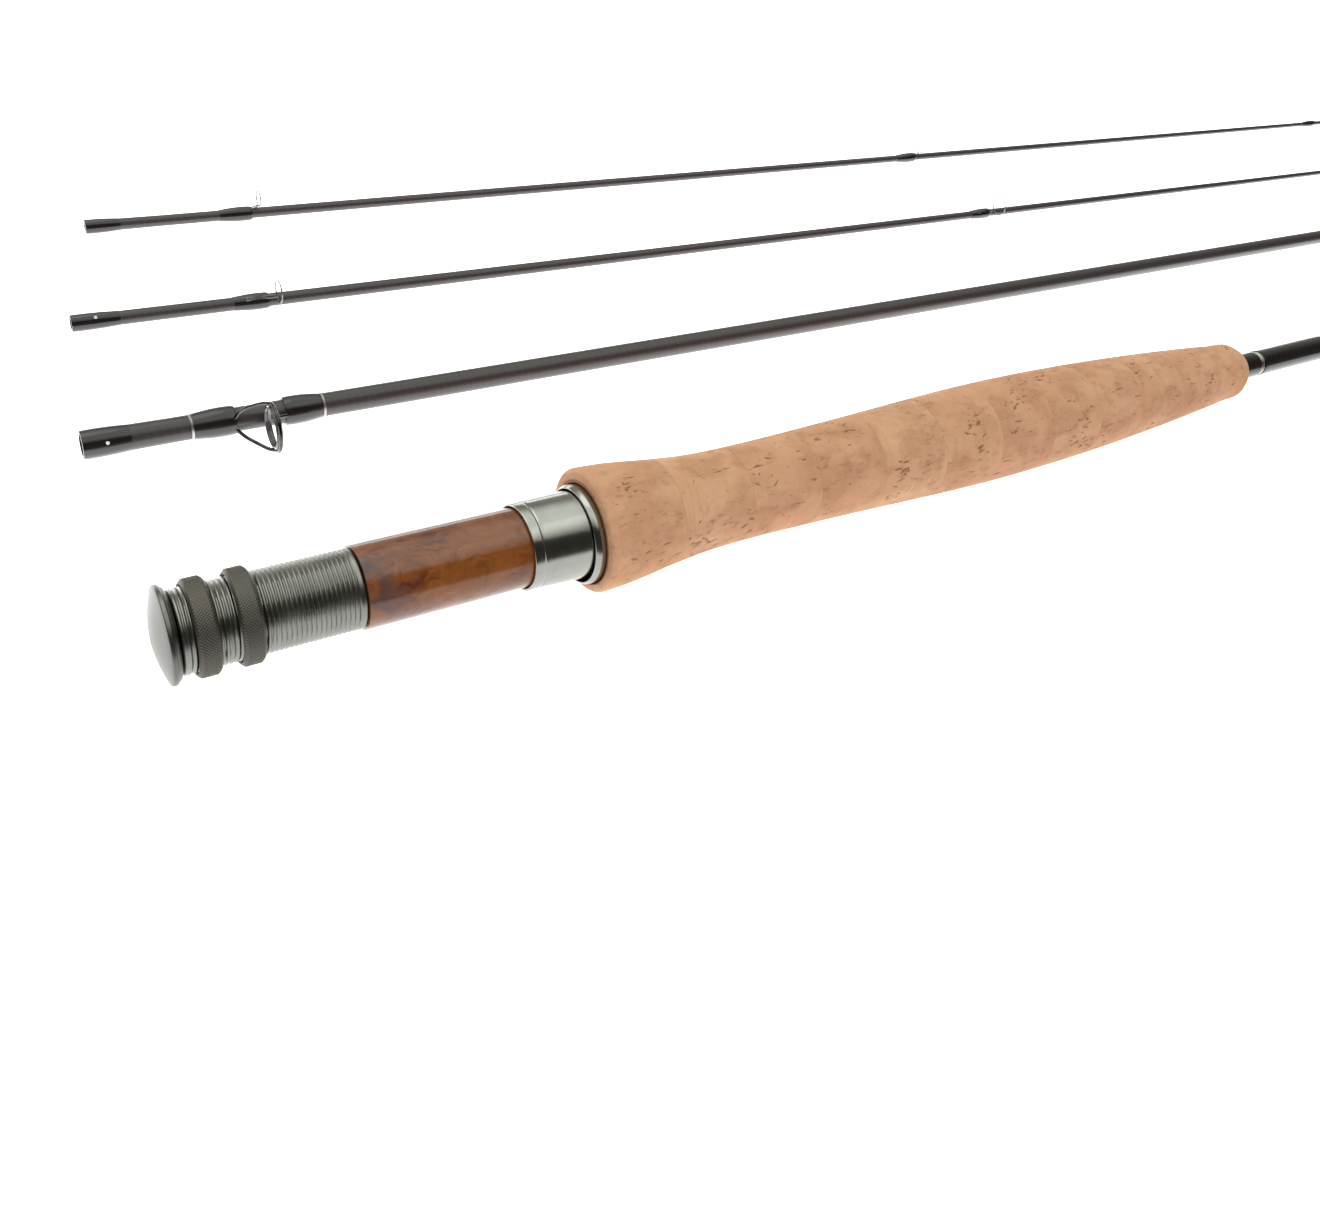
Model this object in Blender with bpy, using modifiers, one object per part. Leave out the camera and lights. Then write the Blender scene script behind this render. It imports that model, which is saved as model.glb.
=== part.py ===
"""Four-piece fly rod, taken apart and laid down: the handle section and three upper sections side by side.

Units are metres, +Z is up and every section runs along +X, butt end first. The handle section rests on its
cork grip and the upper sections on their ferrule windings. The reel foot seats on the underside, at -Z.
"""

import math

import bmesh
import bpy
from mathutils import Vector

# ---- driving sizes, in metres ----
SECTION_LENGTH = 0.686          # mouth or cap to shoulder; four of them make a rod of 2.74 m
SPIGOT_LENGTH = 0.040           # how far a ferrule spigot stands out of its section
SPIGOT_DEPTH = 0.030            # how far it is glued into the blank behind it
BLANK_WALL = 0.00045
FIT_GAP = 0.0003                # between pieces that are seated or glued on each other
WINDING_GAP = 0.0001            # between a thread winding and what it is wound on
ROUND = 28                      # facets of the seat and the grip
SLIM_ROUND = 16                 # facets of blanks, windings and other thin pieces

# reel seat
CAP_RADIUS = 0.01015
CAP_DOME = 0.0022
CAP_FLAT_RADIUS = 0.0030
CAP_RIM = 0.0018
CAP_PLUG_LENGTH = 0.0065
BARREL_START = 0.0043
BARREL_END = 0.0406
BARREL_RADIUS = 0.00875
SEAT_BORE = 0.0056
RING_RADIUS = 0.0101
RING_WIDTH = 0.0045
RING_CHAMFER = 0.0007
REAR_RING_START = 0.0069
FRONT_RING_START = 0.0153
INSERT_RADIUS = 0.00925
INSERT_TENON_RADIUS = 0.0076
HOOD_START = 0.0783
HOOD_LIP_END = 0.0810
HOOD_END = 0.0932
HOOD_LIP_RADIUS = 0.0102
HOOD_NECK_RADIUS = 0.0104
HOOD_MOUTH_RADIUS = 0.0109
HOOD_MOUTH_DROP = 0.0006        # how far the mouth's centre sits below the axis, for the reel foot
HOOD_WALL = 0.0005
CUP_START = 0.0937
CUP_FLOOR = 0.0040              # floor of the fixed hood, at its far end
CUP_DEPTH = 0.0080
CUP_RADIUS = 0.0116
CUP_DROP = 0.0008
CUP_BORE = 0.0109
CUP_BORE_DROP = 0.0011
CUP_CHAMFER = 0.0004
ARBOR_STARTS = (0.0140, 0.0600)
ARBOR_LENGTH = 0.0240

# cork grip
GRIP_START = 0.0953
GRIP_END = 0.3450
CORK_RINGS = 12
CORK_GAP = 0.00015              # glue line between two rings
GRIP_EDGE = 0.0005
GRIP_NOSE = 0.0045
FLARE_RADIUS = 0.0150
WAIST_RADIUS = 0.0118
SWELL_RADIUS = 0.0140
FRONT_RADIUS = 0.0084
GRIP_SHAPE = (                  # share of the grip's length, radius
    (0.00, FLARE_RADIUS),
    (0.02, 0.0148),
    (0.062, 0.0134),
    (0.133, WAIST_RADIUS),
    (0.26, 0.0121),
    (0.50, SWELL_RADIUS),
    (0.65, 0.0137),
    (0.80, 0.0121),
    (0.92, 0.0101),
    (1.00, FRONT_RADIUS),
)

# windings of the handle section
CHECK_LENGTH = 0.0024
CHECK_RADIUS = 0.0047
TRIM_WIDTH = 0.0006
TRIM_GAP = 0.0004
TRIM_HEIGHT = 0.0002            # how far a metal trim band stands above the blank's surface
KEEPER_WINDING = 0.0085
LONG_WINDING = 0.0390
WINDING_HEIGHT = 0.00028        # thread and varnish above the surface they cover

# blanks: outer radius at the rear end, at the front shoulder, and of the spigot
BUTT_BLANK = {"start": 0.0120, "rear": 0.0043, "front": 0.0036, "spigot": 0.0025}
SECTION_2 = {"start": 0.0000, "y": 0.0700, "rear": 0.00310, "front": 0.00280, "spigot": 0.00140}
SECTION_3 = {"start": 0.0065, "y": 0.1183, "rear": 0.00178, "front": 0.00095, "spigot": 0.0007}
SECTION_4 = {"start": 0.0183, "y": 0.1627, "rear": 0.00164, "front": 0.00095, "spigot": 0.0}
SWELL_LENGTH = 0.0450           # how far the thicker wall of a ferrule mouth reaches
SWELL_HEIGHT = {"section_2": 0.00012, "section_3": 0.00015, "section_4": 0.00008}
SOCKET_GAP = 0.00008
FERRULE_WINDING = {"section_2": 0.0107, "section_3": 0.0119, "section_4": 0.0094}
DOT_RADIUS = 0.0008
DOT_HEIGHT = 0.00016
DOT_ROLL = {"section_2": math.radians(55), "section_3": math.radians(30)}

# stripping guide on section 2
STRIP_STATION = 0.0420
STRIP_ROLL = math.radians(68)
STRIP_RING = 0.00605
STRIP_CENTRE = STRIP_RING + 0.00375     # ring centre above the blank's axis
STRIP_WIRE = 0.0005
STRIP_INSERT_INNER = 0.0047
STRIP_INSERT_WIDTH = 0.0016
STRIP_FOOT = 0.00042            # foot thickness
STRIP_FOOT_WIDTH = 0.0016
STRIP_WINDING_RADIUS = 0.00380
STRIP_REAR = (-0.0171, -0.0069) # rear winding, from and to, about the guide's station
STRIP_FRONT = (0.0050, 0.0145)

# single-foot ring guides: ring radius to the wire's centre, wire radius, daylight between ring and blank
LARGE_GUIDE = {"ring": 0.00310, "wire": 0.00020, "lift": 0.0002, "foot": 0.0065, "winding": 0.0095}
SMALL_GUIDE = {"ring": 0.00240, "wire": 0.00018, "lift": 0.0009, "foot": 0.0062, "winding": 0.0095}
GUIDE_REACH = 0.0022            # ring plane ahead of the winding's end
FOOT_SPREAD = 0.00036           # each leg's distance from the guide's middle plane
GUIDE_VARNISH = 0.00006         # thread and varnish over a ring guide's foot
GUIDES_2 = ((0.5400, STRIP_ROLL),)
GUIDES_3 = ((0.0531, math.radians(32)), (0.3392, math.radians(32)), (0.6120, math.radians(32)))
GUIDES_4 = ((0.0492, 0.0), (0.3240, 0.0), (0.6180, 0.0))
TIP_TUBE = {"length": 0.0080, "wall": 0.0003, "nose": 0.0016, "ring": 0.0021, "wire": 0.00036}
TIP_WINDING = 0.0040

# ---- sizes that follow from those above ----
BUTT_AXIS = FLARE_RADIUS
OVERALL_END = SECTION_3["start"] + SECTION_LENGTH + SPIGOT_LENGTH
GUIDE_SIDE = SMALL_GUIDE["ring"] + SMALL_GUIDE["wire"]
CENTRE_X = OVERALL_END / 2
CENTRE_Y = (SECTION_4["y"] + GUIDE_SIDE - FLARE_RADIUS) / 2
GRIP_LENGTH = GRIP_END - GRIP_START
CUP_END = CUP_START + CUP_DEPTH + CUP_FLOOR
INSERT_END = CUP_START + CUP_DEPTH - FIT_GAP

MATERIALS = {
    "pewter_metal": ((0.36, 0.36, 0.33), 0.32, 1.0),
    "knurled_metal": ((0.16, 0.15, 0.14), 0.60, 0.8),
    "polished_metal": ((0.62, 0.63, 0.62), 0.18, 1.0),
    "burl_wood": ((0.30, 0.10, 0.03), 0.25, 0.0),
    "cork": ((0.66, 0.43, 0.27), 0.75, 0.0),
    "graphite": ((0.055, 0.048, 0.045), 0.45, 0.0),
    "winding": ((0.012, 0.010, 0.010), 0.12, 0.0),
    "silver_trim": ((0.75, 0.74, 0.72), 0.25, 1.0),
    "guide_wire": ((0.20, 0.20, 0.20), 0.25, 1.0),
    "ceramic": ((0.10, 0.10, 0.10), 0.15, 0.0),
    "white_paint": ((0.80, 0.80, 0.78), 0.40, 0.0),
    "arbor_foam": ((0.55, 0.50, 0.40), 0.80, 0.0),
}


def clear_scene():
    for obj in list(bpy.data.objects):
        bpy.data.objects.remove(obj, do_unlink=True)


def new_collection(name):
    group = bpy.data.collections.new(name)
    bpy.context.scene.collection.children.link(group)
    return group


def make_material(name):
    color, roughness, metallic = MATERIALS[name]
    material = bpy.data.materials.new(name)
    material.use_nodes = True
    shader = material.node_tree.nodes["Principled BSDF"]
    shader.inputs["Base Color"].default_value = (*color, 1.0)
    shader.inputs["Roughness"].default_value = roughness
    shader.inputs["Metallic"].default_value = metallic
    material.diffuse_color = (*color, 1.0)
    return material


clear_scene()
ROD = new_collection("fly_rod")
TOOLS = new_collection("cutters")
FINISH = {name: make_material(name) for name in MATERIALS}


# ---- placing ----
def section_empty(name, start, y, height):
    """The empty that carries a section: on its axis, at its butt end."""
    empty = bpy.data.objects.new(name, None)
    empty.location = (start - CENTRE_X, y - CENTRE_Y, height)
    ROD.objects.link(empty)
    return empty


def place(obj, section, x=0.0, roll=0.0, finish=None):
    obj.parent = section
    obj.location.x += x
    obj.rotation_euler.x += roll
    if finish:
        obj.data.materials.append(FINISH[finish])
        ROD.objects.link(obj)
    else:
        TOOLS.objects.link(obj)
        obj.hide_render = True
        obj.display_type = "WIRE"
    return obj


# ---- shapes ----
def turned(name, outer, inner=(), drop=0.0, facets=ROUND):
    """A piece turned about +X. outer and inner are (x, radius) from rear to front; inner is its bore."""
    top_down = [(radius, x) for x, radius in reversed(outer)]
    back_up = [(radius, x) for x, radius in inner]
    if not inner:
        top_down = [(0.0, outer[-1][0])] + top_down + [(0.0, outer[0][0])]
    points = top_down + back_up
    edges = [(i, i + 1) for i in range(len(points) - 1)]
    if inner:
        edges.append((len(points) - 1, 0))
    mesh = bpy.data.meshes.new(name)
    mesh.from_pydata([(radius, 0.0, x) for radius, x in points], edges, [])
    obj = bpy.data.objects.new(name, mesh)
    obj.rotation_euler = (0.0, math.pi / 2, 0.0)
    obj.location.z = -drop
    screw = obj.modifiers.new("turn", "SCREW")
    screw.steps = facets
    screw.render_steps = facets
    screw.use_merge_vertices = True
    screw.merge_threshold = 0.00001
    screw.use_smooth_shade = True
    return obj


def wire(name, points, radius, closed=False):
    """A round wire through the points, as a closed mesh."""
    curve = bpy.data.curves.new(name, "CURVE")
    curve.dimensions = "3D"
    curve.bevel_depth = radius
    curve.bevel_resolution = 2
    curve.use_fill_caps = True
    spline = curve.splines.new("POLY")
    spline.use_cyclic_u = closed
    spline.points.add(len(points) - 1)
    for point, place_at in zip(spline.points, points):
        point.co = (*place_at, 1.0)
    guide = bpy.data.objects.new(name, curve)
    TOOLS.objects.link(guide)
    bpy.context.view_layer.update()
    graph = bpy.context.evaluated_depsgraph_get()
    mesh = bpy.data.meshes.new_from_object(guide.evaluated_get(graph))
    bpy.data.objects.remove(guide, do_unlink=True)
    bpy.data.curves.remove(curve)
    shape = bmesh.new()
    shape.from_mesh(mesh)
    bmesh.ops.remove_doubles(shape, verts=shape.verts, dist=0.000002)
    bmesh.ops.recalc_face_normals(shape, faces=shape.faces)
    shape.to_mesh(mesh)
    shape.free()
    mesh.shade_smooth()
    mesh.name = name
    return bpy.data.objects.new(name, mesh)


def block(name, low, high):
    """A box between two corners, for feet and for the slots they lie in."""
    low, high = Vector(low), Vector(high)
    shape = bmesh.new()
    bmesh.ops.create_cube(shape, size=1.0)
    bmesh.ops.scale(shape, vec=high - low, verts=shape.verts)
    bmesh.ops.translate(shape, vec=(low + high) / 2, verts=shape.verts)
    mesh = bpy.data.meshes.new(name)
    shape.to_mesh(mesh)
    shape.free()
    return bpy.data.objects.new(name, mesh)


def oblique_cone(name, start, start_radius, end, end_radius, drop, beyond=0.0):
    """A cone along +X whose far circle is lowered by drop. beyond carries it on at the same slope."""
    share = 1 + beyond / (end - start)
    depth = (end - start) * share
    shape = bmesh.new()
    bmesh.ops.create_cone(shape, cap_ends=True, segments=ROUND, depth=depth, radius1=start_radius,
                          radius2=start_radius + (end_radius - start_radius) * share)
    bmesh.ops.translate(shape, vec=(0.0, 0.0, start + depth / 2), verts=shape.verts)
    for vertex in shape.verts:
        if vertex.co.z > start + depth / 2:
            vertex.co.x += drop * share
    mesh = bpy.data.meshes.new(name)
    shape.to_mesh(mesh)
    shape.free()
    mesh.shade_smooth()
    obj = bpy.data.objects.new(name, mesh)
    obj.rotation_euler = (0.0, math.pi / 2, 0.0)
    return obj


def combine(obj, other, operation):
    step = obj.modifiers.new(operation.lower() + "_" + other.name, "BOOLEAN")
    step.operation = operation
    step.solver = "EXACT"
    step.object = other


# ---- radii along the rod ----
def between(x, x0, r0, x1, r1):
    return r0 + (r1 - r0) * (x - x0) / (x1 - x0)


def butt_radius(x):
    """Outer radius of the handle section's blank at x from the cap."""
    return between(x, BUTT_BLANK["start"], BUTT_BLANK["rear"], SECTION_LENGTH, BUTT_BLANK["front"])


def blank_radius(section, x):
    """Outer radius of an upper section's blank at x from its mouth, past the ferrule swell."""
    return between(x, 0.0, section["rear"], SECTION_LENGTH, section["front"])


def grip_radius(x):
    """Grip outline: a smooth curve through GRIP_SHAPE, rounded over at its two ends."""
    share = (x - GRIP_START) / GRIP_LENGTH
    last = len(GRIP_SHAPE) - 2
    span = max(i for i in range(last + 1) if GRIP_SHAPE[i][0] <= share + 1e-9)
    (a, ra), (b, rb) = GRIP_SHAPE[span], GRIP_SHAPE[span + 1]
    before = GRIP_SHAPE[max(span - 1, 0)]
    after = GRIP_SHAPE[min(span + 2, last + 1)]
    slope_a = (rb - before[1]) / (b - before[0])
    slope_b = (after[1] - ra) / (after[0] - a)
    t = (share - a) / (b - a)
    hermite = (2 * t**3 - 3 * t**2 + 1) * ra + (3 * t**2 - 2 * t**3) * rb
    hermite += ((t**3 - 2 * t**2 + t) * slope_a + (t**3 - t**2) * slope_b) * (b - a)
    rear = max(0.0, GRIP_EDGE - (x - GRIP_START))
    nose = max(0.0, GRIP_NOSE - (GRIP_END - x))
    return hermite - rear - (GRIP_NOSE - math.sqrt(max(0.0, GRIP_NOSE**2 - nose**2))) * 0.75


# ---- reel seat ----
def reel_seat(butt):
    dome = [(CAP_DOME * (1 - math.cos(a)), CAP_FLAT_RADIUS + (CAP_RADIUS - CAP_FLAT_RADIUS) * math.sin(a))
            for a in [math.radians(step) for step in (0, 30, 55, 75, 90)]]
    rim_end = CAP_DOME + CAP_RIM
    plug_radius = SEAT_BORE - FIT_GAP
    plug_end = BARREL_START + CAP_PLUG_LENGTH
    cap = dome + [(rim_end, CAP_RADIUS), (rim_end, plug_radius), (plug_end, plug_radius)]
    place(turned("butt_cap", cap), butt, finish="pewter_metal")

    bore = [(BARREL_START, SEAT_BORE), (BARREL_END, SEAT_BORE)]
    chamfer = FIT_GAP
    barrel = [(BARREL_START, BARREL_RADIUS - chamfer), (BARREL_START + chamfer, BARREL_RADIUS),
              (BARREL_END - chamfer, BARREL_RADIUS), (BARREL_END, BARREL_RADIUS - chamfer)]
    place(turned("seat_barrel", barrel, bore), butt, finish="pewter_metal")

    insert_start = BARREL_END + FIT_GAP
    step = CUP_START + FIT_GAP
    insert = [(insert_start, INSERT_RADIUS), (step, INSERT_RADIUS), (step, INSERT_TENON_RADIUS),
              (INSERT_END, INSERT_TENON_RADIUS)]
    bore = [(insert_start, SEAT_BORE), (INSERT_END, SEAT_BORE)]
    place(turned("wood_insert", insert, bore), butt, finish="burl_wood")

    for name, start in zip(("seat_arbor_rear", "seat_arbor_front"), ARBOR_STARTS):
        end = start + ARBOR_LENGTH
        outer = [(start, SEAT_BORE - FIT_GAP), (end, SEAT_BORE - FIT_GAP)]
        inner = [(start, butt_radius(start) + FIT_GAP), (end, butt_radius(start) + FIT_GAP)]
        place(turned(name, outer, inner, facets=SLIM_ROUND), butt, finish="arbor_foam")


def lock_ring(name, start, butt):
    """A knurled ring that screws along the barrel. Its origin is on the barrel's axis, at its rear face."""
    outer = [(0.0, RING_RADIUS - RING_CHAMFER), (RING_CHAMFER, RING_RADIUS),
             (RING_WIDTH - RING_CHAMFER, RING_RADIUS), (RING_WIDTH, RING_RADIUS - RING_CHAMFER)]
    bore = BARREL_RADIUS + FIT_GAP
    ring = turned(name, outer, [(0.0, bore), (RING_WIDTH, bore)])
    place(ring, butt, x=start, finish="knurled_metal")


def sliding_hood(butt):
    """The hood that clamps the reel foot: round at its lip, wider and lower at its mouth."""
    length = HOOD_END - HOOD_START
    lip = HOOD_LIP_END - HOOD_START
    waist = lip + FIT_GAP
    bore = INSERT_RADIUS + FIT_GAP
    outer = [(0.0, HOOD_LIP_RADIUS - FIT_GAP), (FIT_GAP, HOOD_LIP_RADIUS), (lip, HOOD_LIP_RADIUS),
             (waist, HOOD_NECK_RADIUS - FIT_GAP), (waist + FIT_GAP, HOOD_NECK_RADIUS - FIT_GAP)]
    hood = place(turned("sliding_hood", outer), butt, x=HOOD_START, finish="polished_metal")
    mouth = oblique_cone("hood_mouth", waist, HOOD_NECK_RADIUS, length, HOOD_MOUTH_RADIUS, HOOD_MOUTH_DROP)
    pocket = oblique_cone("hood_pocket", waist, bore - FIT_GAP, length, HOOD_MOUTH_RADIUS - HOOD_WALL,
                          HOOD_MOUTH_DROP, beyond=FIT_GAP)
    hole = turned("hood_bore", [(-FIT_GAP, bore), (length + FIT_GAP, bore)])
    combine(hood, place(mouth, butt, x=HOOD_START), "UNION")
    combine(hood, place(pocket, butt, x=HOOD_START), "DIFFERENCE")
    combine(hood, place(hole, butt, x=HOOD_START), "DIFFERENCE")


def fixed_hood(butt):
    """The cup let into the grip. Its bore sits low, so that the reel foot's end goes in underneath."""
    end = CUP_END
    outer = [(CUP_START, CUP_RADIUS - CUP_CHAMFER / 2), (CUP_START + CUP_CHAMFER / 2, CUP_RADIUS), (end, CUP_RADIUS)]
    hole = BUTT_BLANK["rear"] + FIT_GAP
    floor = CUP_START + CUP_DEPTH
    cup = turned("fixed_hood", outer, drop=CUP_DROP)
    place(cup, butt, finish="polished_metal")
    mouth = CUP_START - FIT_GAP
    bore = [(mouth, CUP_BORE + CUP_CHAMFER), (CUP_START + CUP_CHAMFER, CUP_BORE), (floor, CUP_BORE)]
    through = [(CUP_START, hole), (end + FIT_GAP, hole)]
    combine(cup, place(turned("cup_bore", bore, drop=CUP_BORE_DROP), butt), "DIFFERENCE")
    combine(cup, place(turned("cup_hole", through), butt), "DIFFERENCE")


# ---- grip ----
def cork_grip(butt):
    length = GRIP_LENGTH / CORK_RINGS
    for number in range(CORK_RINGS):
        start = GRIP_START + number * length + (CORK_GAP if number else 0.0)
        end = GRIP_START + (number + 1) * length - (CORK_GAP if number < CORK_RINGS - 1 else 0.0)
        stations = [start + (end - start) * share for share in (0.0, 0.5, 1.0)]
        if number == 0:
            stations.insert(1, start + GRIP_EDGE)
        if number == CORK_RINGS - 1:
            stations[-1:] = [end - GRIP_NOSE * share for share in (0.6, 0.3, 0.12, 0.0)]
        outer = [(x, grip_radius(x)) for x in stations]
        bore = butt_radius(start) + FIT_GAP
        ring = turned(f"cork_ring_{number + 1:02d}", outer, [(start, bore), (end, bore)])
        place(ring, butt, finish="cork")
        if number == 0:
            recess = [(start - FIT_GAP, CUP_RADIUS + FIT_GAP), (CUP_END + FIT_GAP, CUP_RADIUS + FIT_GAP)]
            combine(ring, place(turned("cup_recess", recess, drop=CUP_DROP), butt), "DIFFERENCE")


def winding(name, section, start, end, surface, height=WINDING_HEIGHT, finish="winding"):
    """Thread wound on a blank and varnished: a thin sleeve that thins out at both ends."""
    inner = [(start, surface(start) + WINDING_GAP), (end, surface(end) + WINDING_GAP)]
    taper = min(0.0008, (end - start) / 4)
    thin = WINDING_GAP + height * 0.45
    full = WINDING_GAP + height
    outer = [(start, surface(start) + thin), (start + taper, surface(start + taper) + full),
             (end - taper, surface(end - taper) + full), (end, surface(end) + thin)]
    return place(turned(name, outer, inner, facets=SLIM_ROUND), section, finish=finish)


def trim_band(name, section, start, surface):
    return winding(name, section, start, start + TRIM_WIDTH, surface, TRIM_HEIGHT, "silver_trim")


def handle_front(butt):
    """Winding check, keeper winding, two metal bands and the long winding ahead of them."""
    start = GRIP_END + FIT_GAP
    bore = butt_radius(start) + WINDING_GAP
    check = [(start, CHECK_RADIUS), (start + CHECK_LENGTH * 0.4, CHECK_RADIUS),
             (start + CHECK_LENGTH, bore + FIT_GAP)]
    ring = turned("winding_check", check, [(start, bore), (start + CHECK_LENGTH, bore)], facets=SLIM_ROUND)
    place(ring, butt, finish="silver_trim")
    x = start + CHECK_LENGTH + WINDING_GAP
    winding("keeper_winding", butt, x, x + KEEPER_WINDING, butt_radius)
    x += KEEPER_WINDING + WINDING_GAP
    for number in (1, 2):
        trim_band(f"butt_trim_band_{number}", butt, x, butt_radius)
        x += TRIM_WIDTH + TRIM_GAP
    x += WINDING_GAP - TRIM_GAP
    winding("long_winding", butt, x, x + LONG_WINDING, butt_radius)


# ---- blanks ----
def spigot(name, section, radius, wall_radius):
    start = SECTION_LENGTH - SPIGOT_DEPTH
    end = SECTION_LENGTH + SPIGOT_LENGTH
    chamfer = radius * 0.2
    rod = [(start, wall_radius), (SECTION_LENGTH, wall_radius), (SECTION_LENGTH + chamfer, radius),
           (end - chamfer, radius), (end, radius - chamfer)]
    place(turned(name, rod, facets=SLIM_ROUND), section, finish="graphite")


def front_bore(radius):
    """Bore radius of a blank where its spigot is glued in."""
    return radius - BLANK_WALL


def butt_blank(butt):
    start, end = BUTT_BLANK["start"], SECTION_LENGTH
    outer = [(start, butt_radius(start)), (end, butt_radius(end))]
    inner = [(start, butt_radius(start) - BLANK_WALL), (end, front_bore(butt_radius(end)))]
    place(turned("butt_blank", outer, inner, facets=SLIM_ROUND), butt, finish="graphite")
    spigot("butt_spigot", butt, BUTT_BLANK["spigot"], front_bore(BUTT_BLANK["front"]) - WINDING_GAP)


def upper_blank(name, section, sizes, socket_radius, last=False):
    """A tapered tube with a ferrule socket at its mouth that takes the section below."""
    swell = SWELL_HEIGHT[name]
    outer = [(0.0, sizes["rear"] + swell), (SWELL_LENGTH * 0.2, blank_radius(sizes, SWELL_LENGTH * 0.2) + swell),
             (SWELL_LENGTH * 0.45, blank_radius(sizes, SWELL_LENGTH * 0.45)), (SECTION_LENGTH, sizes["front"])]
    bore = socket_radius + SOCKET_GAP
    end_bore = front_bore(sizes["front"]) if not last else sizes["front"] * 0.4
    inner = [(0.0, bore), (SWELL_LENGTH, bore), (SWELL_LENGTH + 0.004, min(bore, end_bore)),
             (SECTION_LENGTH, end_bore)]
    blank = turned(name.replace("section", "blank"), outer, inner, facets=SLIM_ROUND)
    place(blank, section, finish="graphite")
    if not last:
        spigot(name.replace("section", "spigot"), section, sizes["spigot"], end_bore - WINDING_GAP)


def ferrule_winding(name, section, sizes):
    swell = SWELL_HEIGHT[name]
    surface = lambda x: blank_radius(sizes, x) + swell
    winding(name.replace("section", "ferrule_winding"), section, 0.0, FERRULE_WINDING[name], surface)
    if name in DOT_ROLL:
        roll = DOT_ROLL[name]
        top = surface(0.0) + WINDING_GAP * 2 + WINDING_HEIGHT
        mark = turned(name.replace("section", "alignment_dot"),
                      [(0.0, DOT_RADIUS), (DOT_HEIGHT, DOT_RADIUS * 0.7)], facets=SLIM_ROUND)
        mark.rotation_euler = (roll, 0.0, 0.0)
        mark.location = (FERRULE_WINDING[name] / 2, -math.sin(roll) * top, math.cos(roll) * top)
        place(mark, section, finish="white_paint")


# ---- guides ----
def guide_cover(guide):
    """Height of the winding over a ring guide's foot."""
    return 2 * guide["wire"] + WINDING_GAP + GUIDE_VARNISH


def ring_guide(name, section, sizes, guide, station, roll):
    """A single-foot guide bent from one wire, with a winding over its foot. The ring stands square to the rod."""
    wind_end = station - GUIDE_REACH
    wind_start = wind_end - guide["winding"]
    height = blank_radius(sizes, wind_end) + WINDING_GAP + guide["wire"]
    foot_start = -GUIDE_REACH - guide["foot"]
    centre = blank_radius(sizes, station) + guide["lift"] + guide["wire"] + guide["ring"]
    half_gap = math.asin(FOOT_SPREAD / guide["ring"])
    leg = [(foot_start, FOOT_SPREAD, height), (-GUIDE_REACH * 1.0, FOOT_SPREAD, height),
           (-GUIDE_REACH * 0.55, FOOT_SPREAD, height + guide["wire"])]
    turns = 14
    loop = []
    for step in range(turns + 1):
        angle = half_gap + (2 * math.pi - 2 * half_gap) * step / turns
        loop.append((0.0, guide["ring"] * math.sin(angle), centre - guide["ring"] * math.cos(angle)))
    back = [(x, -y, z) for x, y, z in reversed(leg)]
    place(wire(name, leg + loop + back, guide["wire"]), section, x=station, roll=roll, finish="guide_wire")

    surface = lambda x: blank_radius(sizes, x)
    wrap_name = name.replace("ring_guide", "guide_winding")
    wrap = winding(wrap_name, section, wind_start, wind_end, surface, guide_cover(guide))
    slot_side = FOOT_SPREAD + guide["wire"] + WINDING_GAP
    slot = block(wrap_name + "_slot", (foot_start - WINDING_GAP, -slot_side, surface(wind_end) - WINDING_GAP),
                 (0.0, slot_side, height + guide["wire"] + WINDING_GAP / 2))
    combine(wrap, place(slot, section, x=station, roll=roll), "DIFFERENCE")


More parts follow.
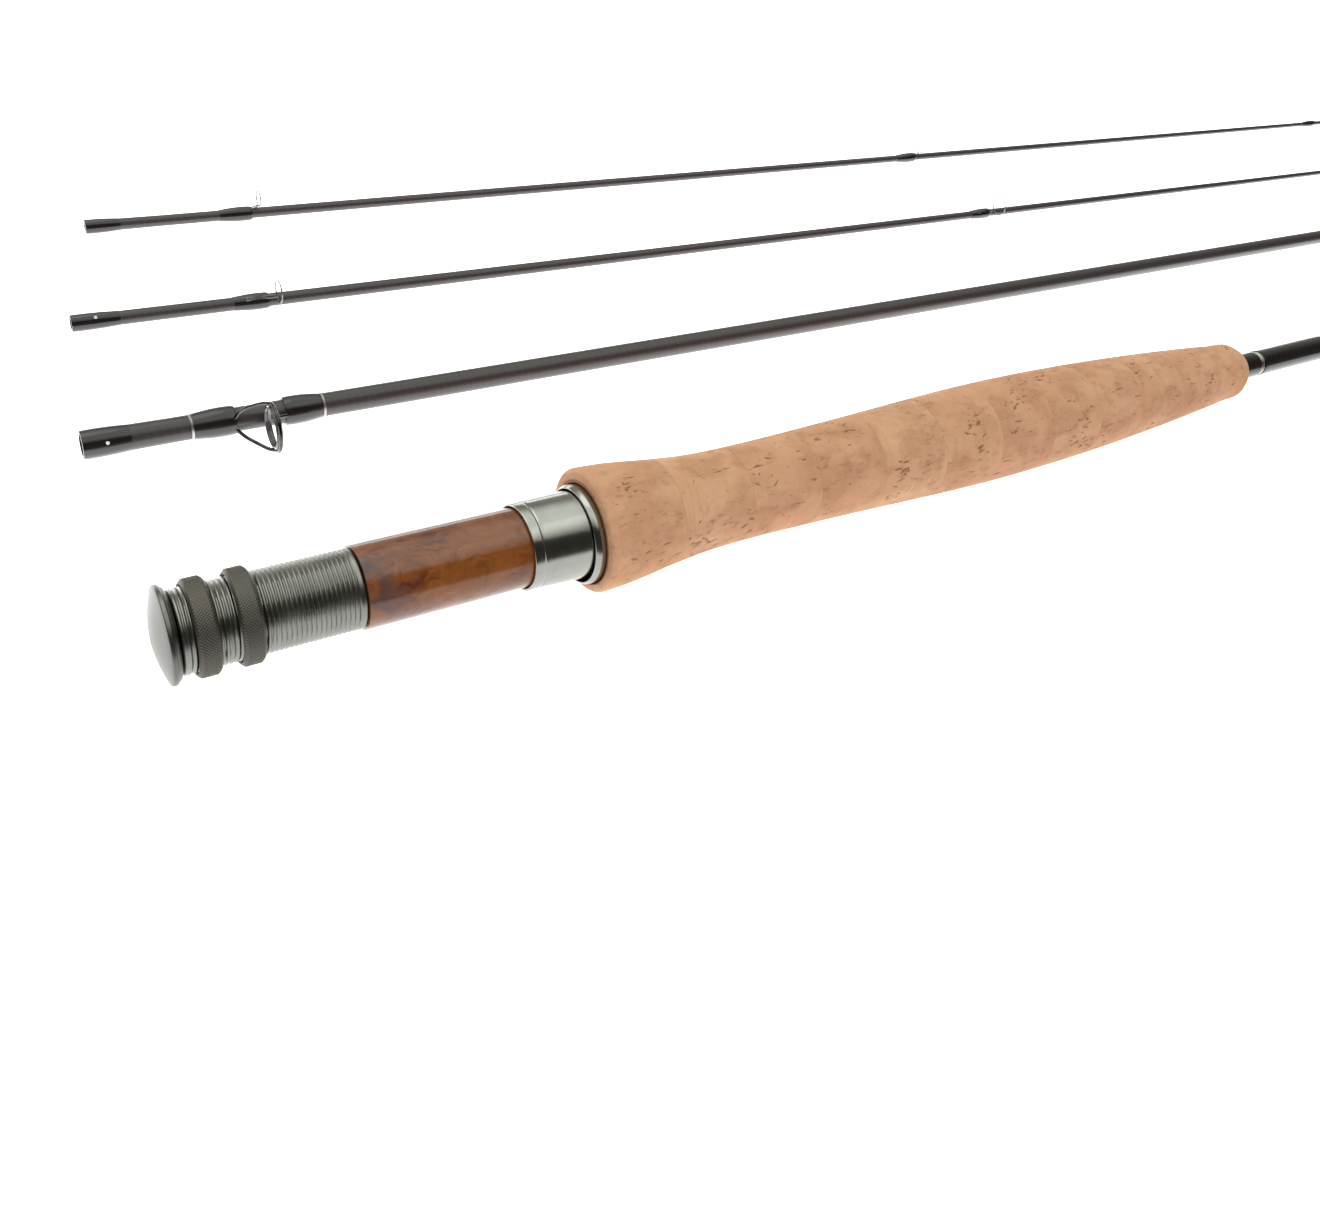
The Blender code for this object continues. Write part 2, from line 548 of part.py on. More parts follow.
def stripping_guide(section, sizes):
    """Two-footed guide with a ceramic ring: a round frame, two long rear legs, a short front brace."""
    low = blank_radius(sizes, STRIP_STATION) + WINDING_GAP + 0.0001
    high = low + STRIP_FOOT
    middle = (low + high) / 2
    half = STRIP_FOOT_WIDTH / 2
    rear_start, rear_end = STRIP_REAR
    front_start, front_end = STRIP_FRONT
    turns = 28
    ring = [(0.0, STRIP_RING * math.sin(2 * math.pi * i / turns),
             STRIP_CENTRE - STRIP_RING * math.cos(2 * math.pi * i / turns)) for i in range(turns)]
    frame = wire("strip_guide_frame", ring, STRIP_WIRE, closed=True)
    place(frame, section, x=STRIP_STATION, roll=STRIP_ROLL, finish="guide_wire")
    side = STRIP_RING * 0.92
    parts = [block("rear_foot", (rear_start + 0.002, -half, low), (rear_end + 0.0012, half, high))]
    parts.append(block("front_foot", (front_start - 0.0012, -half, low), (front_end - 0.002, half, high)))
    for sign, name in ((1, "left"), (-1, "right")):
        leg = [(rear_end - 0.0002, sign * 0.0003, middle), (rear_end + 0.0012, sign * 0.0012, middle + 0.0004),
               (rear_end * 0.55, sign * side * 0.62, STRIP_CENTRE * 0.60),
               (rear_end * 0.22, sign * side * 1.07, STRIP_CENTRE * 0.86),
               (0.0, sign * STRIP_RING, STRIP_CENTRE)]
        parts.append(wire(f"leg_{name}", leg, STRIP_WIRE * 0.9))
    base = STRIP_CENTRE - STRIP_RING
    brace = [(0.0, 0.0, base), (front_start * 0.5, 0.0, (base + middle) / 2), (front_start, 0.0, middle)]
    parts.append(wire("brace", brace, STRIP_WIRE * 0.9))
    for part in parts:
        combine(frame, place(part, section, x=STRIP_STATION, roll=STRIP_ROLL), "UNION")

    width = STRIP_INSERT_WIDTH / 2
    outer_radius = STRIP_RING - STRIP_WIRE - WINDING_GAP
    crown = [(-width, outer_radius - 0.0002), (-width * 0.6, outer_radius), (width * 0.6, outer_radius),
             (width, outer_radius - 0.0002)]
    bore = [(-width, STRIP_INSERT_INNER + 0.0002), (0.0, STRIP_INSERT_INNER), (width, STRIP_INSERT_INNER + 0.0002)]
    insert = turned("strip_guide_insert", crown, bore, facets=28)
    insert.location = (0.0, -math.sin(STRIP_ROLL) * STRIP_CENTRE, math.cos(STRIP_ROLL) * STRIP_CENTRE)
    place(insert, section, x=STRIP_STATION, finish="ceramic")

    surface = lambda x: blank_radius(sizes, x)
    for name, (start, end) in (("strip_winding_rear", STRIP_REAR), ("strip_winding_front", STRIP_FRONT)):
        height = STRIP_WINDING_RADIUS - surface(STRIP_STATION) - WINDING_GAP
        wrap = winding(name, section, STRIP_STATION + start, STRIP_STATION + end, surface, height)
        slot_start, slot_end = (start + 0.0015, end + 0.002) if start < 0 else (start - 0.002, end - 0.0015)
        slot = block(name + "_slot", (slot_start, -half - WINDING_GAP, low - FIT_GAP),
                     (slot_end, half + WINDING_GAP, high + WINDING_GAP))
        combine(wrap, place(slot, section, x=STRIP_STATION, roll=STRIP_ROLL), "DIFFERENCE")
    trim_band("trim_band_rear", section, STRIP_STATION + rear_start - WINDING_GAP - TRIM_WIDTH, surface)
    trim_band("trim_band_front", section, STRIP_STATION + front_end + WINDING_GAP, surface)


def tip_top(section, sizes):
    """The end ring: a tube glued over the tip, with a wire loop rising from its nose."""
    start = SECTION_LENGTH - TIP_TUBE["length"] + FIT_GAP
    end = SECTION_LENGTH + FIT_GAP
    bore_radius = blank_radius(sizes, start) + WINDING_GAP
    outer_radius = bore_radius + TIP_TUBE["wall"]
    nose = end + TIP_TUBE["nose"]
    outer = [(start, outer_radius), (end, outer_radius), (nose, outer_radius * 0.8)]
    tube = turned("tip_top", outer, facets=SLIM_ROUND)
    place(tube, section, finish="guide_wire")
    hole = turned("tip_bore", [(start - FIT_GAP, bore_radius), (end, bore_radius)], facets=SLIM_ROUND)
    combine(tube, place(hole, section), "DIFFERENCE")
    turns = 14
    spread = math.asin(0.5 * outer_radius / TIP_TUBE["ring"])
    centre = (nose + TIP_TUBE["ring"] * 0.45, TIP_TUBE["ring"] * 0.95)
    loop = []
    for step in range(turns + 1):
        angle = spread + (2 * math.pi - 2 * spread) * step / turns
        drop = TIP_TUBE["ring"] * math.cos(angle)
        loop.append((centre[0] - drop * 0.5, TIP_TUBE["ring"] * math.sin(angle), centre[1] - drop * 0.87))
    root = (nose - TIP_TUBE["nose"] * 0.55, 0.25 * outer_radius, 0.0)
    path = [root] + loop + [(root[0], -root[1], root[2])]
    combine(tube, place(wire("tip_loop", path, TIP_TUBE["wire"]), section), "UNION")
    winding("tip_winding", section, start - WINDING_GAP - TIP_WINDING, start - WINDING_GAP,
            lambda x: blank_radius(sizes, x), TIP_TUBE["wall"])


# ---- the rod ----
def resting_height(name, sizes, guide):
    """Height of an upper section's axis when its widest winding lies on the table."""
    over_ferrule = sizes["rear"] + SWELL_HEIGHT[name] + WINDING_GAP + WINDING_HEIGHT
    over_guide = sizes["rear"] + WINDING_GAP + guide_cover(guide)
    return max(over_ferrule, STRIP_WINDING_RADIUS if name == "section_2" else over_guide)


def build():
    butt = section_empty("butt_section", 0.0, 0.0, BUTT_AXIS)
    reel_seat(butt)
    lock_ring("lock_ring_rear", REAR_RING_START, butt)
    lock_ring("lock_ring_front", FRONT_RING_START, butt)
    sliding_hood(butt)
    fixed_hood(butt)
    cork_grip(butt)
    butt_blank(butt)
    handle_front(butt)

    below = BUTT_BLANK["spigot"]
    for name, sizes, guide, stations in (("section_2", SECTION_2, LARGE_GUIDE, GUIDES_2),
                                         ("section_3", SECTION_3, LARGE_GUIDE, GUIDES_3),
                                         ("section_4", SECTION_4, SMALL_GUIDE, GUIDES_4)):
        section = section_empty(name, sizes["start"], sizes["y"], resting_height(name, sizes, guide))
        upper_blank(name, section, sizes, below, last=name == "section_4")
        ferrule_winding(name, section, sizes)
        below = sizes["spigot"]
        if name == "section_2":
            stripping_guide(section, sizes)
        for letter, (station, roll) in zip("abc", stations):
            ring_guide(name.replace("section", "ring_guide") + letter, section, sizes, guide, station, roll)
        if name == "section_4":
            tip_top(section, sizes)


build()
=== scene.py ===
import math

import bpy
import numpy as np
from mathutils import Matrix, Vector


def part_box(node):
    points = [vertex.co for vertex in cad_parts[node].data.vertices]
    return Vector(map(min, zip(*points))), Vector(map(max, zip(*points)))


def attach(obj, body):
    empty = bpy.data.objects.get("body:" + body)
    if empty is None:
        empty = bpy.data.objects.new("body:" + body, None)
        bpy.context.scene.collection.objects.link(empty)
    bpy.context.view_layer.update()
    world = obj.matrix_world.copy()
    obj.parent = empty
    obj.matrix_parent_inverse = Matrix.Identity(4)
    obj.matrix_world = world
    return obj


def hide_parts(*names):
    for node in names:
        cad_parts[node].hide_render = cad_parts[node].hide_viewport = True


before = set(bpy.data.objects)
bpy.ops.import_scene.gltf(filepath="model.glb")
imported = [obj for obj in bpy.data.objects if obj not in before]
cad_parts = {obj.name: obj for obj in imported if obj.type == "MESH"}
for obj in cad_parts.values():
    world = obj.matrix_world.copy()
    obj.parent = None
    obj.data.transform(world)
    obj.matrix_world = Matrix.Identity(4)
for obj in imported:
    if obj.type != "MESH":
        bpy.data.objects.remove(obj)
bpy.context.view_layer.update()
mm = 0.001


# ---- shader nodes ----
class Wire:
    # One output socket, so that sums on values can be written as plain Python.
    def __init__(self, maker, socket):
        self.maker = maker
        self.socket = socket

    def math(self, operation, first, second=None):
        sockets = {0: first} if second is None else {0: first, 1: second}
        return self.maker.node("Math", {"operation": operation}, sockets)

    def __add__(self, other):
        return self.math("ADD", self, other)

    def __radd__(self, other):
        return self.math("ADD", other, self)

    def __sub__(self, other):
        return self.math("SUBTRACT", self, other)

    def __rsub__(self, other):
        return self.math("SUBTRACT", other, self)

    def __mul__(self, other):
        return self.math("MULTIPLY", self, other)

    def __rmul__(self, other):
        return self.math("MULTIPLY", other, self)

    def __truediv__(self, other):
        return self.math("DIVIDE", self, other)


class Maker:
    def __init__(self, tree):
        self.tree = tree
        tree.nodes.clear()

    def node(self, kind, settings=None, sockets=None, out=0):
        made = self.tree.nodes.new("ShaderNode" + kind)
        for name, value in (settings or {}).items():
            if name == "stops":
                ramp = made.color_ramp.elements
                while len(ramp) < len(value):
                    ramp.new(0.5)
                for stop, (position, tint) in zip(ramp, value):
                    stop.position = position
                    stop.color = (*tint, 1.0)
            else:
                setattr(made, name, value)
        for name, value in (sockets or {}).items():
            if isinstance(value, Wire):
                self.tree.links.new(value.socket, made.inputs[name])
            else:
                made.inputs[name].default_value = value
        return Wire(self, made.outputs[out])

    def end(self, kind, surface):
        output = self.tree.nodes.new("ShaderNode" + kind)
        self.tree.links.new(surface.socket, output.inputs["Surface"])

    def place(self):
        return self.node("TexCoord", out="Object")

    def apart(self, vector):
        x = self.node("SeparateXYZ", sockets={0: vector})
        return x, Wire(self, x.socket.node.outputs[1]), Wire(self, x.socket.node.outputs[2])

    def vector(self, x, y, z):
        return self.node("CombineXYZ", sockets={0: x, 1: y, 2: z})

    def scaled(self, vector, stretch):
        return self.node("VectorMath", {"operation": "MULTIPLY"}, {0: vector, 1: stretch})

    def noise(self, vector, scale, detail=3.0, roughness=0.5, distortion=0.0, out=0):
        return self.node("TexNoise", {}, {"Vector": vector, "Scale": scale, "Detail": detail,
                                          "Roughness": roughness, "Distortion": distortion}, out)

    def spread(self, value, low, high, start=0.0, end=1.0):
        # value from low..high to start..end, held at the ends
        return self.node("MapRange", {"clamp": True}, {"Value": value, "From Min": low, "From Max": high,
                                                       "To Min": start, "To Max": end})

    def ramp(self, value, stops):
        return self.node("ValToRGB", {"stops": stops}, {"Fac": value})

    def mix(self, factor, first, second, blend="MIX"):
        first = first if isinstance(first, Wire) else (*first, 1.0)
        second = second if isinstance(second, Wire) else (*second, 1.0)
        return self.node("Mix", {"data_type": "RGBA", "blend_type": blend},
                         {"Factor": factor, 6: first, 7: second}, out=2)

    def pingPong(self, value):
        # a triangle wave from 0 to 1, one for each whole number of value
        return self.node("Math", {"operation": "PINGPONG"}, {0: value, 1: 0.5}) * 2.0

    def bump(self, height, distance, strength=1.0):
        return self.node("Bump", {}, {"Height": height, "Distance": distance, "Strength": strength})

    def round(self, vector):
        # angle about the section's axis as a value from -1 to 1
        x, y, z = self.apart(vector)
        return self.node("Math", {"operation": "ARCTAN2"}, {0: y, 1: z}) / math.pi


finishes = {}


def finish(name, build, metallic=0.0, roughness=0.5, **fixed):
    # A material: build(maker) gives what changes over its surface, the rest is set on the sockets.
    material = bpy.data.materials.new(name)
    material.use_nodes = True
    maker = Maker(material.node_tree)
    varied = build(maker)
    sockets = {"Metallic": metallic, "Roughness": roughness, **fixed, **varied}
    surface = maker.node("BsdfPrincipled", {}, sockets)
    maker.end("OutputMaterial", surface)
    finishes[name] = material
    return material


# ---- finishes ----
pewter = {"tint": (0.235, 0.235, 0.215), "worn": (0.31, 0.31, 0.29), "roughness": 0.30}
capMetal = {"tint": (0.150, 0.150, 0.140), "worn": (0.195, 0.195, 0.185), "roughness": 0.34}


def pewterNodes(maker, look=pewter):
    place = maker.place()
    x, y, z = maker.apart(place)
    lines = maker.noise(maker.vector(x * 9000.0, maker.round(place) * 1.2, 0.0), 1.0, 2.0)
    stains = maker.noise(place, 260.0, 4.0, 0.6)
    tint = maker.mix(maker.spread(stains, 0.35, 0.75), look["tint"], look["worn"])
    rough = look["roughness"] + (stains - 0.5) * 0.16 + (lines - 0.5) * 0.10
    return {"Base Color": tint, "Roughness": rough, "Normal": maker.bump(lines, 0.000006, 0.35)}


finish("pewter_metal", pewterNodes, metallic=1.0)
finish("cap_metal", lambda maker: pewterNodes(maker, capMetal), metallic=1.0)

knurled = {"crest": (0.185, 0.170, 0.148), "valley_shade": (0.055, 0.050, 0.043), "roughness": 0.52}


def knurledNodes(maker):
    place = maker.place()
    height = maker.node("Attribute", {"attribute_name": "height"}, out="Fac")
    grime = maker.noise(place, 900.0, 3.0)
    # the valleys between the teeth are painted darker than the crests: painted shade in the knurl's hollows,
    # with grime noise on top
    crests = maker.spread(height + (grime - 0.5) * 0.3, 0.1, 0.9)
    tint = maker.mix(crests, knurled["valley_shade"], knurled["crest"])
    rough = knurled["roughness"] + (grime - 0.5) * 0.25 - height * 0.10
    return {"Base Color": tint, "Roughness": rough, "Normal": maker.bump(grime, 0.00001, 0.4)}


finish("knurled_metal", knurledNodes, metallic=0.85)

polished = {"tint": (0.375, 0.385, 0.355), "shade": (0.335, 0.34, 0.32), "roughness": 0.17}


def polishedNodes(maker):
    place = maker.place()
    x, y, z = maker.apart(place)
    brushed = maker.noise(maker.vector(x * 7000.0, maker.round(place) * 1.5, 0.0), 1.0, 3.0, 0.6)
    smears = maker.noise(place, 190.0, 3.0)
    tint = maker.mix(maker.spread(smears, 0.35, 0.7), polished["shade"], polished["tint"])
    rough = polished["roughness"] + (smears - 0.4) * 0.10 + (brushed - 0.5) * 0.08
    return {"Base Color": tint, "Roughness": rough, "Normal": maker.bump(brushed, 0.000004, 0.3)}


finish("polished_metal", polishedNodes, metallic=1.0)

burl = {"pale": (0.33, 0.130, 0.034), "amber": (0.225, 0.066, 0.011), "brown": (0.140, 0.030, 0.004),
        "dark": (0.060, 0.013, 0.004), "violet": (0.075, 0.045, 0.048)}


def burlNodes(maker):
    place = maker.place()
    x, y, z = maker.apart(place)
    warp = maker.noise(place, 75.0, 3.0, 0.55, out="Color")
    bent = maker.node("VectorMath", {"operation": "MULTIPLY_ADD"},
                      {0: warp, 1: (0.016, 0.016, 0.016), 2: place})
    flow = maker.noise(maker.scaled(bent, (0.55, 1.0, 1.0)), 120.0, 5.0, 0.62, 0.9)
    swirl = maker.noise(maker.scaled(bent, (0.7, 1.3, 1.3)), 260.0, 3.0, 0.5, 1.2)
    pores = maker.noise(maker.scaled(place, (0.18, 1.0, 1.0)), 5200.0, 2.0)
    base = maker.ramp(flow, [(0.30, burl["dark"]), (0.42, burl["brown"]), (0.52, burl["amber"]),
                             (0.64, burl["amber"]), (0.76, burl["pale"])])
    eyes = maker.spread(swirl, 0.50, 0.72)
    base = maker.mix(eyes * 0.40, base, burl["pale"])
    base = maker.mix(maker.spread(swirl, 0.44, 0.30) * 0.45, base, burl["dark"])
    front = maker.spread(x, 0.060, 0.074)
    base = maker.mix(front * 0.45, base, burl["amber"])
    rear = maker.spread(x, 0.043, 0.053, 1.0, 0.0)
    patches = maker.spread(maker.noise(bent, 150.0, 3.0), 0.43, 0.56)
    base = maker.mix(rear * patches * 0.85, base, burl["violet"])
    base = maker.mix(maker.spread(pores, 0.62, 0.75) * 0.35, base, burl["dark"])
    return {"Base Color": base, "Roughness": maker.spread(swirl, 0.3, 0.7, 0.42, 0.30),
            "Normal": maker.bump(pores, 0.00001, 0.25)}


finish("burl_wood", burlNodes, **{"Coat Weight": 0.9, "Coat Roughness": 0.06, "Coat IOR": 1.53,
                                  "Specular IOR Level": 0.2})

corkLook = {"pale": (0.76, 0.465, 0.285), "tan": (0.64, 0.345, 0.190), "rose": (0.62, 0.305, 0.180),
            "shade": (0.44, 0.205, 0.110), "bark": (0.215, 0.090, 0.042),
            "ringLength": 0.02081, "start": 0.0953}


def corkNodes(maker):
    place = maker.place()
    x, y, z = maker.apart(place)
    along = (x - corkLook["start"]) / corkLook["ringLength"]
    number = maker.node("Math", {"operation": "FLOOR"}, {0: along})
    ringTint = maker.node("TexWhiteNoise", {"noise_dimensions": "1D"}, {"W": number})
    apart = maker.node("VectorMath", {"operation": "ADD"},
                       {0: place, 1: maker.vector(0.0, number * 0.37, 0.0)})
    cloud = maker.noise(apart, 70.0, 4.0, 0.6)
    grain = maker.noise(maker.scaled(apart, (1.0, 0.5, 0.5)), 900.0, 4.0, 0.65)
    bands = maker.noise(maker.vector(x * 1500.0, maker.round(place) * 2.5, number), 1.0, 2.0)
    cells = maker.noise(apart, 3600.0, 2.0)
    base = maker.mix(maker.spread(cloud, 0.34, 0.66), corkLook["tan"], corkLook["pale"])
    base = maker.mix(ringTint * 0.45, base, corkLook["rose"])
    base = maker.mix(maker.spread(grain, 0.35, 0.70) * 0.30, base, corkLook["tan"])
    base = maker.mix(maker.spread(bands, 0.50, 0.66) * 0.30, base, corkLook["rose"])
    mottle = maker.noise(maker.scaled(apart, (0.8, 1.0, 1.0)), 230.0, 5.0, 0.7)
    base = maker.mix(maker.spread(mottle, 0.52, 0.72) * 0.55, base, corkLook["shade"])
    # this attribute holds the cork's dark lenticels and, on the first ring's rear face, painted shade round the
    # cup's recess
    pits_and_shade = maker.node("Attribute", {"attribute_name": "pit"}, out="Fac")
    edge = maker.noise(maker.scaled(apart, (0.6, 1.0, 1.0)), 2600.0, 3.0, 0.7)
    dark = maker.spread(pits_and_shade + (edge - 0.5) * 0.9, 0.42, 0.75)
    patch = maker.spread(maker.noise(maker.scaled(apart, (1.0, 1.4, 1.4)), 95.0, 2.0), 0.44, 0.60)
    streak = maker.noise(maker.scaled(apart, (0.40, 1.0, 1.0)), 760.0, 4.0, 0.7)
    fleck = maker.spread(streak + patch * 0.07, 0.62, 0.72)
    base = maker.mix(patch * 0.30, base, corkLook["shade"])
    base = maker.mix(dark * 0.72 + fleck * 0.36, base, corkLook["bark"])
    relief = grain * 0.5 + cells * 0.3 - dark * 1.4 - fleck * 0.6
    return {"Base Color": base, "Roughness": 0.80 + (cells - 0.5) * 0.2,
            "Normal": maker.bump(relief, 0.00009, 0.55)}


finish("cork", corkNodes, **{"Specular IOR Level": 0.3})

graphiteLook = {"tint": (0.036, 0.028, 0.029), "ridge": (0.043, 0.034, 0.035), "pitch": 0.0021}


def graphiteNodes(maker):
    place = maker.place()
    x, y, z = maker.apart(place)
    turn = x / graphiteLook["pitch"] + maker.round(place) * 0.5
    ridge = maker.pingPong(turn)
    fibre = maker.noise(maker.scaled(place, (0.05, 1.0, 1.0)), 5200.0, 2.0)
    haze = maker.noise(place, 55.0, 3.0)
    shine = maker.spread(ridge * 0.5 + fibre * 0.5, 0.25, 0.8)
    tint = maker.mix(shine, graphiteLook["tint"], graphiteLook["ridge"])
    return {"Base Color": tint, "Roughness": 0.36 + (fibre - 0.5) * 0.12 + (haze - 0.5) * 0.10,
            "Normal": maker.bump(ridge * 0.3 + fibre * 0.4, 0.000008, 0.25)}


finish("graphite", graphiteNodes, **{"Coat Weight": 0.25, "Coat Roughness": 0.25})

windingLook = {"thread": (0.014, 0.010, 0.010), "gap": (0.006, 0.004, 0.004), "pitch": 0.00019}


def windingNodes(maker):
    place = maker.place()
    x, y, z = maker.apart(place)
    turns = maker.pingPong(x / windingLook["pitch"])
    sag = maker.noise(place, 330.0, 2.0)
    # the gaps between the thread's turns are painted darker: painted shade between the turns
    tint = maker.mix(maker.spread(turns, 0.2, 0.8), windingLook["gap"], windingLook["thread"])
    return {"Base Color": tint, "Roughness": 0.30 + (turns - 0.5) * 0.10,
            "Normal": maker.bump(sag + turns * 0.06, 0.00009, 0.30)}


finish("winding", windingNodes, **{"Coat Weight": 1.0, "Coat Roughness": 0.035, "Coat IOR": 1.48,
                                   "Specular IOR Level": 0.2})

trimLook = {"bright": (0.80, 0.79, 0.76), "shade": (0.42, 0.41, 0.39)}


def trimNodes(maker):
    place = maker.place()
    x, y, z = maker.apart(place)
    twist = maker.pingPong(maker.round(place) * 60.0 + x * 9000.0)
    # each strand of the twist is painted with a bright and a shaded stripe: painted highlight and painted shade
    tint = maker.mix(twist, trimLook["shade"], trimLook["bright"])
    return {"Base Color": tint, "Roughness": 0.22 + twist * 0.10, "Normal": maker.bump(twist, 0.00002, 0.4)}


finish("silver_trim", trimNodes, metallic=1.0)

wireLook = {"tint": (0.16, 0.155, 0.15), "bright": (0.30, 0.30, 0.29)}
frameLook = {"tint": (0.050, 0.046, 0.045), "bright": (0.105, 0.100, 0.097)}


def wireNodes(maker, look=wireLook):
    place = maker.place()
    drawn = maker.noise(place, 700.0, 3.0)
    tint = maker.mix(maker.spread(drawn, 0.35, 0.65), look["tint"], look["bright"])
    return {"Base Color": tint, "Roughness": 0.16 + (drawn - 0.5) * 0.12}


finish("guide_wire", wireNodes, metallic=1.0)
finish("frame_wire", lambda maker: wireNodes(maker, frameLook), metallic=1.0)


def ceramicNodes(maker):
    place = maker.place()
    speck = maker.noise(place, 2600.0, 2.0)
    tint = maker.mix(maker.spread(speck, 0.4, 0.6), (0.050, 0.050, 0.052), (0.085, 0.085, 0.088))
    return {"Base Color": tint, "Roughness": 0.10 + speck * 0.08}


finish("ceramic", ceramicNodes, **{"Coat Weight": 0.6, "Coat Roughness": 0.04})


def paintNodes(maker):
    brushed = maker.noise(maker.place(), 3000.0, 2.0)
    tint = maker.mix(brushed, (0.74, 0.74, 0.71), (0.86, 0.86, 0.84))
    return {"Base Color": tint, "Roughness": 0.25 + brushed * 0.15,
            "Normal": maker.bump(brushed, 0.00002, 0.3)}


finish("white_paint", paintNodes)


def foamNodes(maker):
    place = maker.place()
    cells = maker.noise(place, 1500.0, 3.0, 0.6)
    tint = maker.mix(cells, (0.42, 0.37, 0.28), (0.62, 0.56, 0.45))
    return {"Base Color": tint, "Roughness": 0.75 + cells * 0.2, "Normal": maker.bump(cells, 0.0001, 0.6)}


finish("arbor_foam", foamNodes)
print("finishes:", len(finishes))


# ---- sections: where each one's axis and rear end are, from the CAD parts ----
def sectionOrigin(rearNode, axisNode):
    low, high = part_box(axisNode)
    return Vector((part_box(rearNode)[0][0], (low[1] + high[1]) / 2, (low[2] + high[2]) / 2))


origins = {"butt": sectionOrigin("butt_cap", "butt_blank")}
for number in (2, 3, 4):
    origins[f"section_{number}"] = sectionOrigin(f"blank_{number}", f"blank_{number}")


def turnedCorners(node, section):
    # x and radius of each corner of a turned node, measured from its section's origin
    points = np.array([corner.co[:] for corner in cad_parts[node].data.vertices])
    points -= np.array(origins[section])
    return points, np.hypot(points[:, 1], points[:, 2])


def outline(node, section):
    # (x, outer radius) along a turned node
    points, radius = turnedCorners(node, section)
    stations = np.round(points[:, 0], 5)
    found = [(x, float(radius[stations == x].max())) for x in sorted(set(stations.tolist()))]
    # a station that only the bore has would pinch the outline
    ends = (found[0], found[-1])
    line = np.interp([x for x, size in found], [x for x, size in ends], [size for x, size in ends])
    found = [point for point, straight in zip(found, line) if point[1] > straight * 0.8]
    inner = []
    for before, here, after in zip(found, found[1:], found[2:]):
        straight = np.interp(here[0], (before[0], after[0]), (before[1], after[1]))
        if here[1] > straight * 0.95:
            inner.append(here)
    return found[:1] + inner + found[-1:]


def span(node, section):
    low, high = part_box(node)
    return low[0] - origins[section][0], high[0] - origins[section][0]


def radiusAt(profile, x):
    return float(np.interp(x, [point[0] for point in profile], [point[1] for point in profile]))


def addPiece(name, corners, faces, section, look, rideOn=None, stands=(), sharp=35.0, values=None):
    mesh = bpy.data.meshes.new(name)
    mesh.from_pydata([tuple(corner) for corner in corners], [], faces)
    mesh.validate()
    mesh.shade_smooth()
    mesh.set_sharp_from_angle(angle=math.radians(sharp))
    for label, numbers in (values or {}).items():
        mesh.attributes.new(label, "FLOAT", "POINT").data.foreach_set("value", numbers)
    piece = bpy.data.objects.new(name, mesh)
    bpy.context.scene.collection.objects.link(piece)
    piece.location = origins[section]
    mesh.materials.append(finishes[look])
    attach(piece, rideOn or section)
    if stands:
        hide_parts(*stands)
    return piece


def turnedGrid(profile, segments, shape=None):
    # profile: (x, radius) pairs; shape(x, angle, radius) may change all three
    stations = np.array(profile, float)
    angle = np.linspace(0, 2 * math.pi, segments, endpoint=False)[None, :] + np.zeros((len(stations), 1))
    x = stations[:, 0:1] + np.zeros_like(angle)
    radius = stations[:, 1:2] + np.zeros_like(angle)
    lift = np.zeros_like(angle)
    if shape:
        x, angle, radius, lift = shape(x, angle, radius)
    corners = np.stack([x, radius * np.sin(angle), radius * np.cos(angle) + lift], axis=-1)
    return corners.reshape(-1, 3)


def turnedFaces(count, segments, tube, first=0):
    faces = []
    for row in range(count if tube else count - 1):
        a, b = first + row * segments, first + (row + 1) % count * segments
        for step in range(segments):
            after = (step + 1) % segments
            faces.append((a + step, b + step, b + after, a + after))
    if not tube:
        faces.append(tuple(first + step for step in range(segments)))
        faces.append(tuple(first + (count - 1) * segments + step for step in reversed(range(segments))))
    return faces


def turnedPiece(name, profile, section, look, segments=96, tube=False, shape=None, values=None, **more):
    corners = turnedGrid(profile, segments, shape)
    faces = turnedFaces(len(profile), segments, tube)
    return addPiece(name, corners, faces, section, look, values=values, **more)


def rounded(corners, steps=5):
    # (x, radius) or (x, radius, fillet) corners: each fillet becomes a smooth bend
    out = []
    count = len(corners)
    for index, corner in enumerate(corners):
        if len(corner) == 2 or index in (0, count - 1):
            out.append(tuple(corner[:2]))
            continue
        here = Vector(corner[:2])
        before = Vector(corners[index - 1][:2]) - here
        after = Vector(corners[index + 1][:2]) - here
        start = here + before.normalized() * min(corner[2], before.length * 0.48)
        end = here + after.normalized() * min(corner[2], after.length * 0.48)
        for step in range(steps + 1):
            t = step / steps
            out.append(tuple((1 - t) ** 2 * start + 2 * t * (1 - t) * here + t**2 * end))
    return out


def smoothPath(points, spacing):
    # Catmull-Rom curve through the points, with a corner every spacing
    points = [Vector(point) for point in points]
    count = len(points)
    path = []
    for index in range(count - 1):
        p = [points[min(max(index + step, 0), count - 1)] for step in (-1, 0, 1, 2)]
        steps = max(2, round((p[2] - p[1]).length / spacing))
        for step in range(steps):
            t = step / steps
            path.append(0.5 * (2 * p[1] + (p[2] - p[0]) * t + (2 * p[0] - 5 * p[1] + 4 * p[2] - p[3]) * t**2
                               + (3 * p[1] - p[0] - 3 * p[2] + p[3]) * t**3))
    return path + [points[-1]]


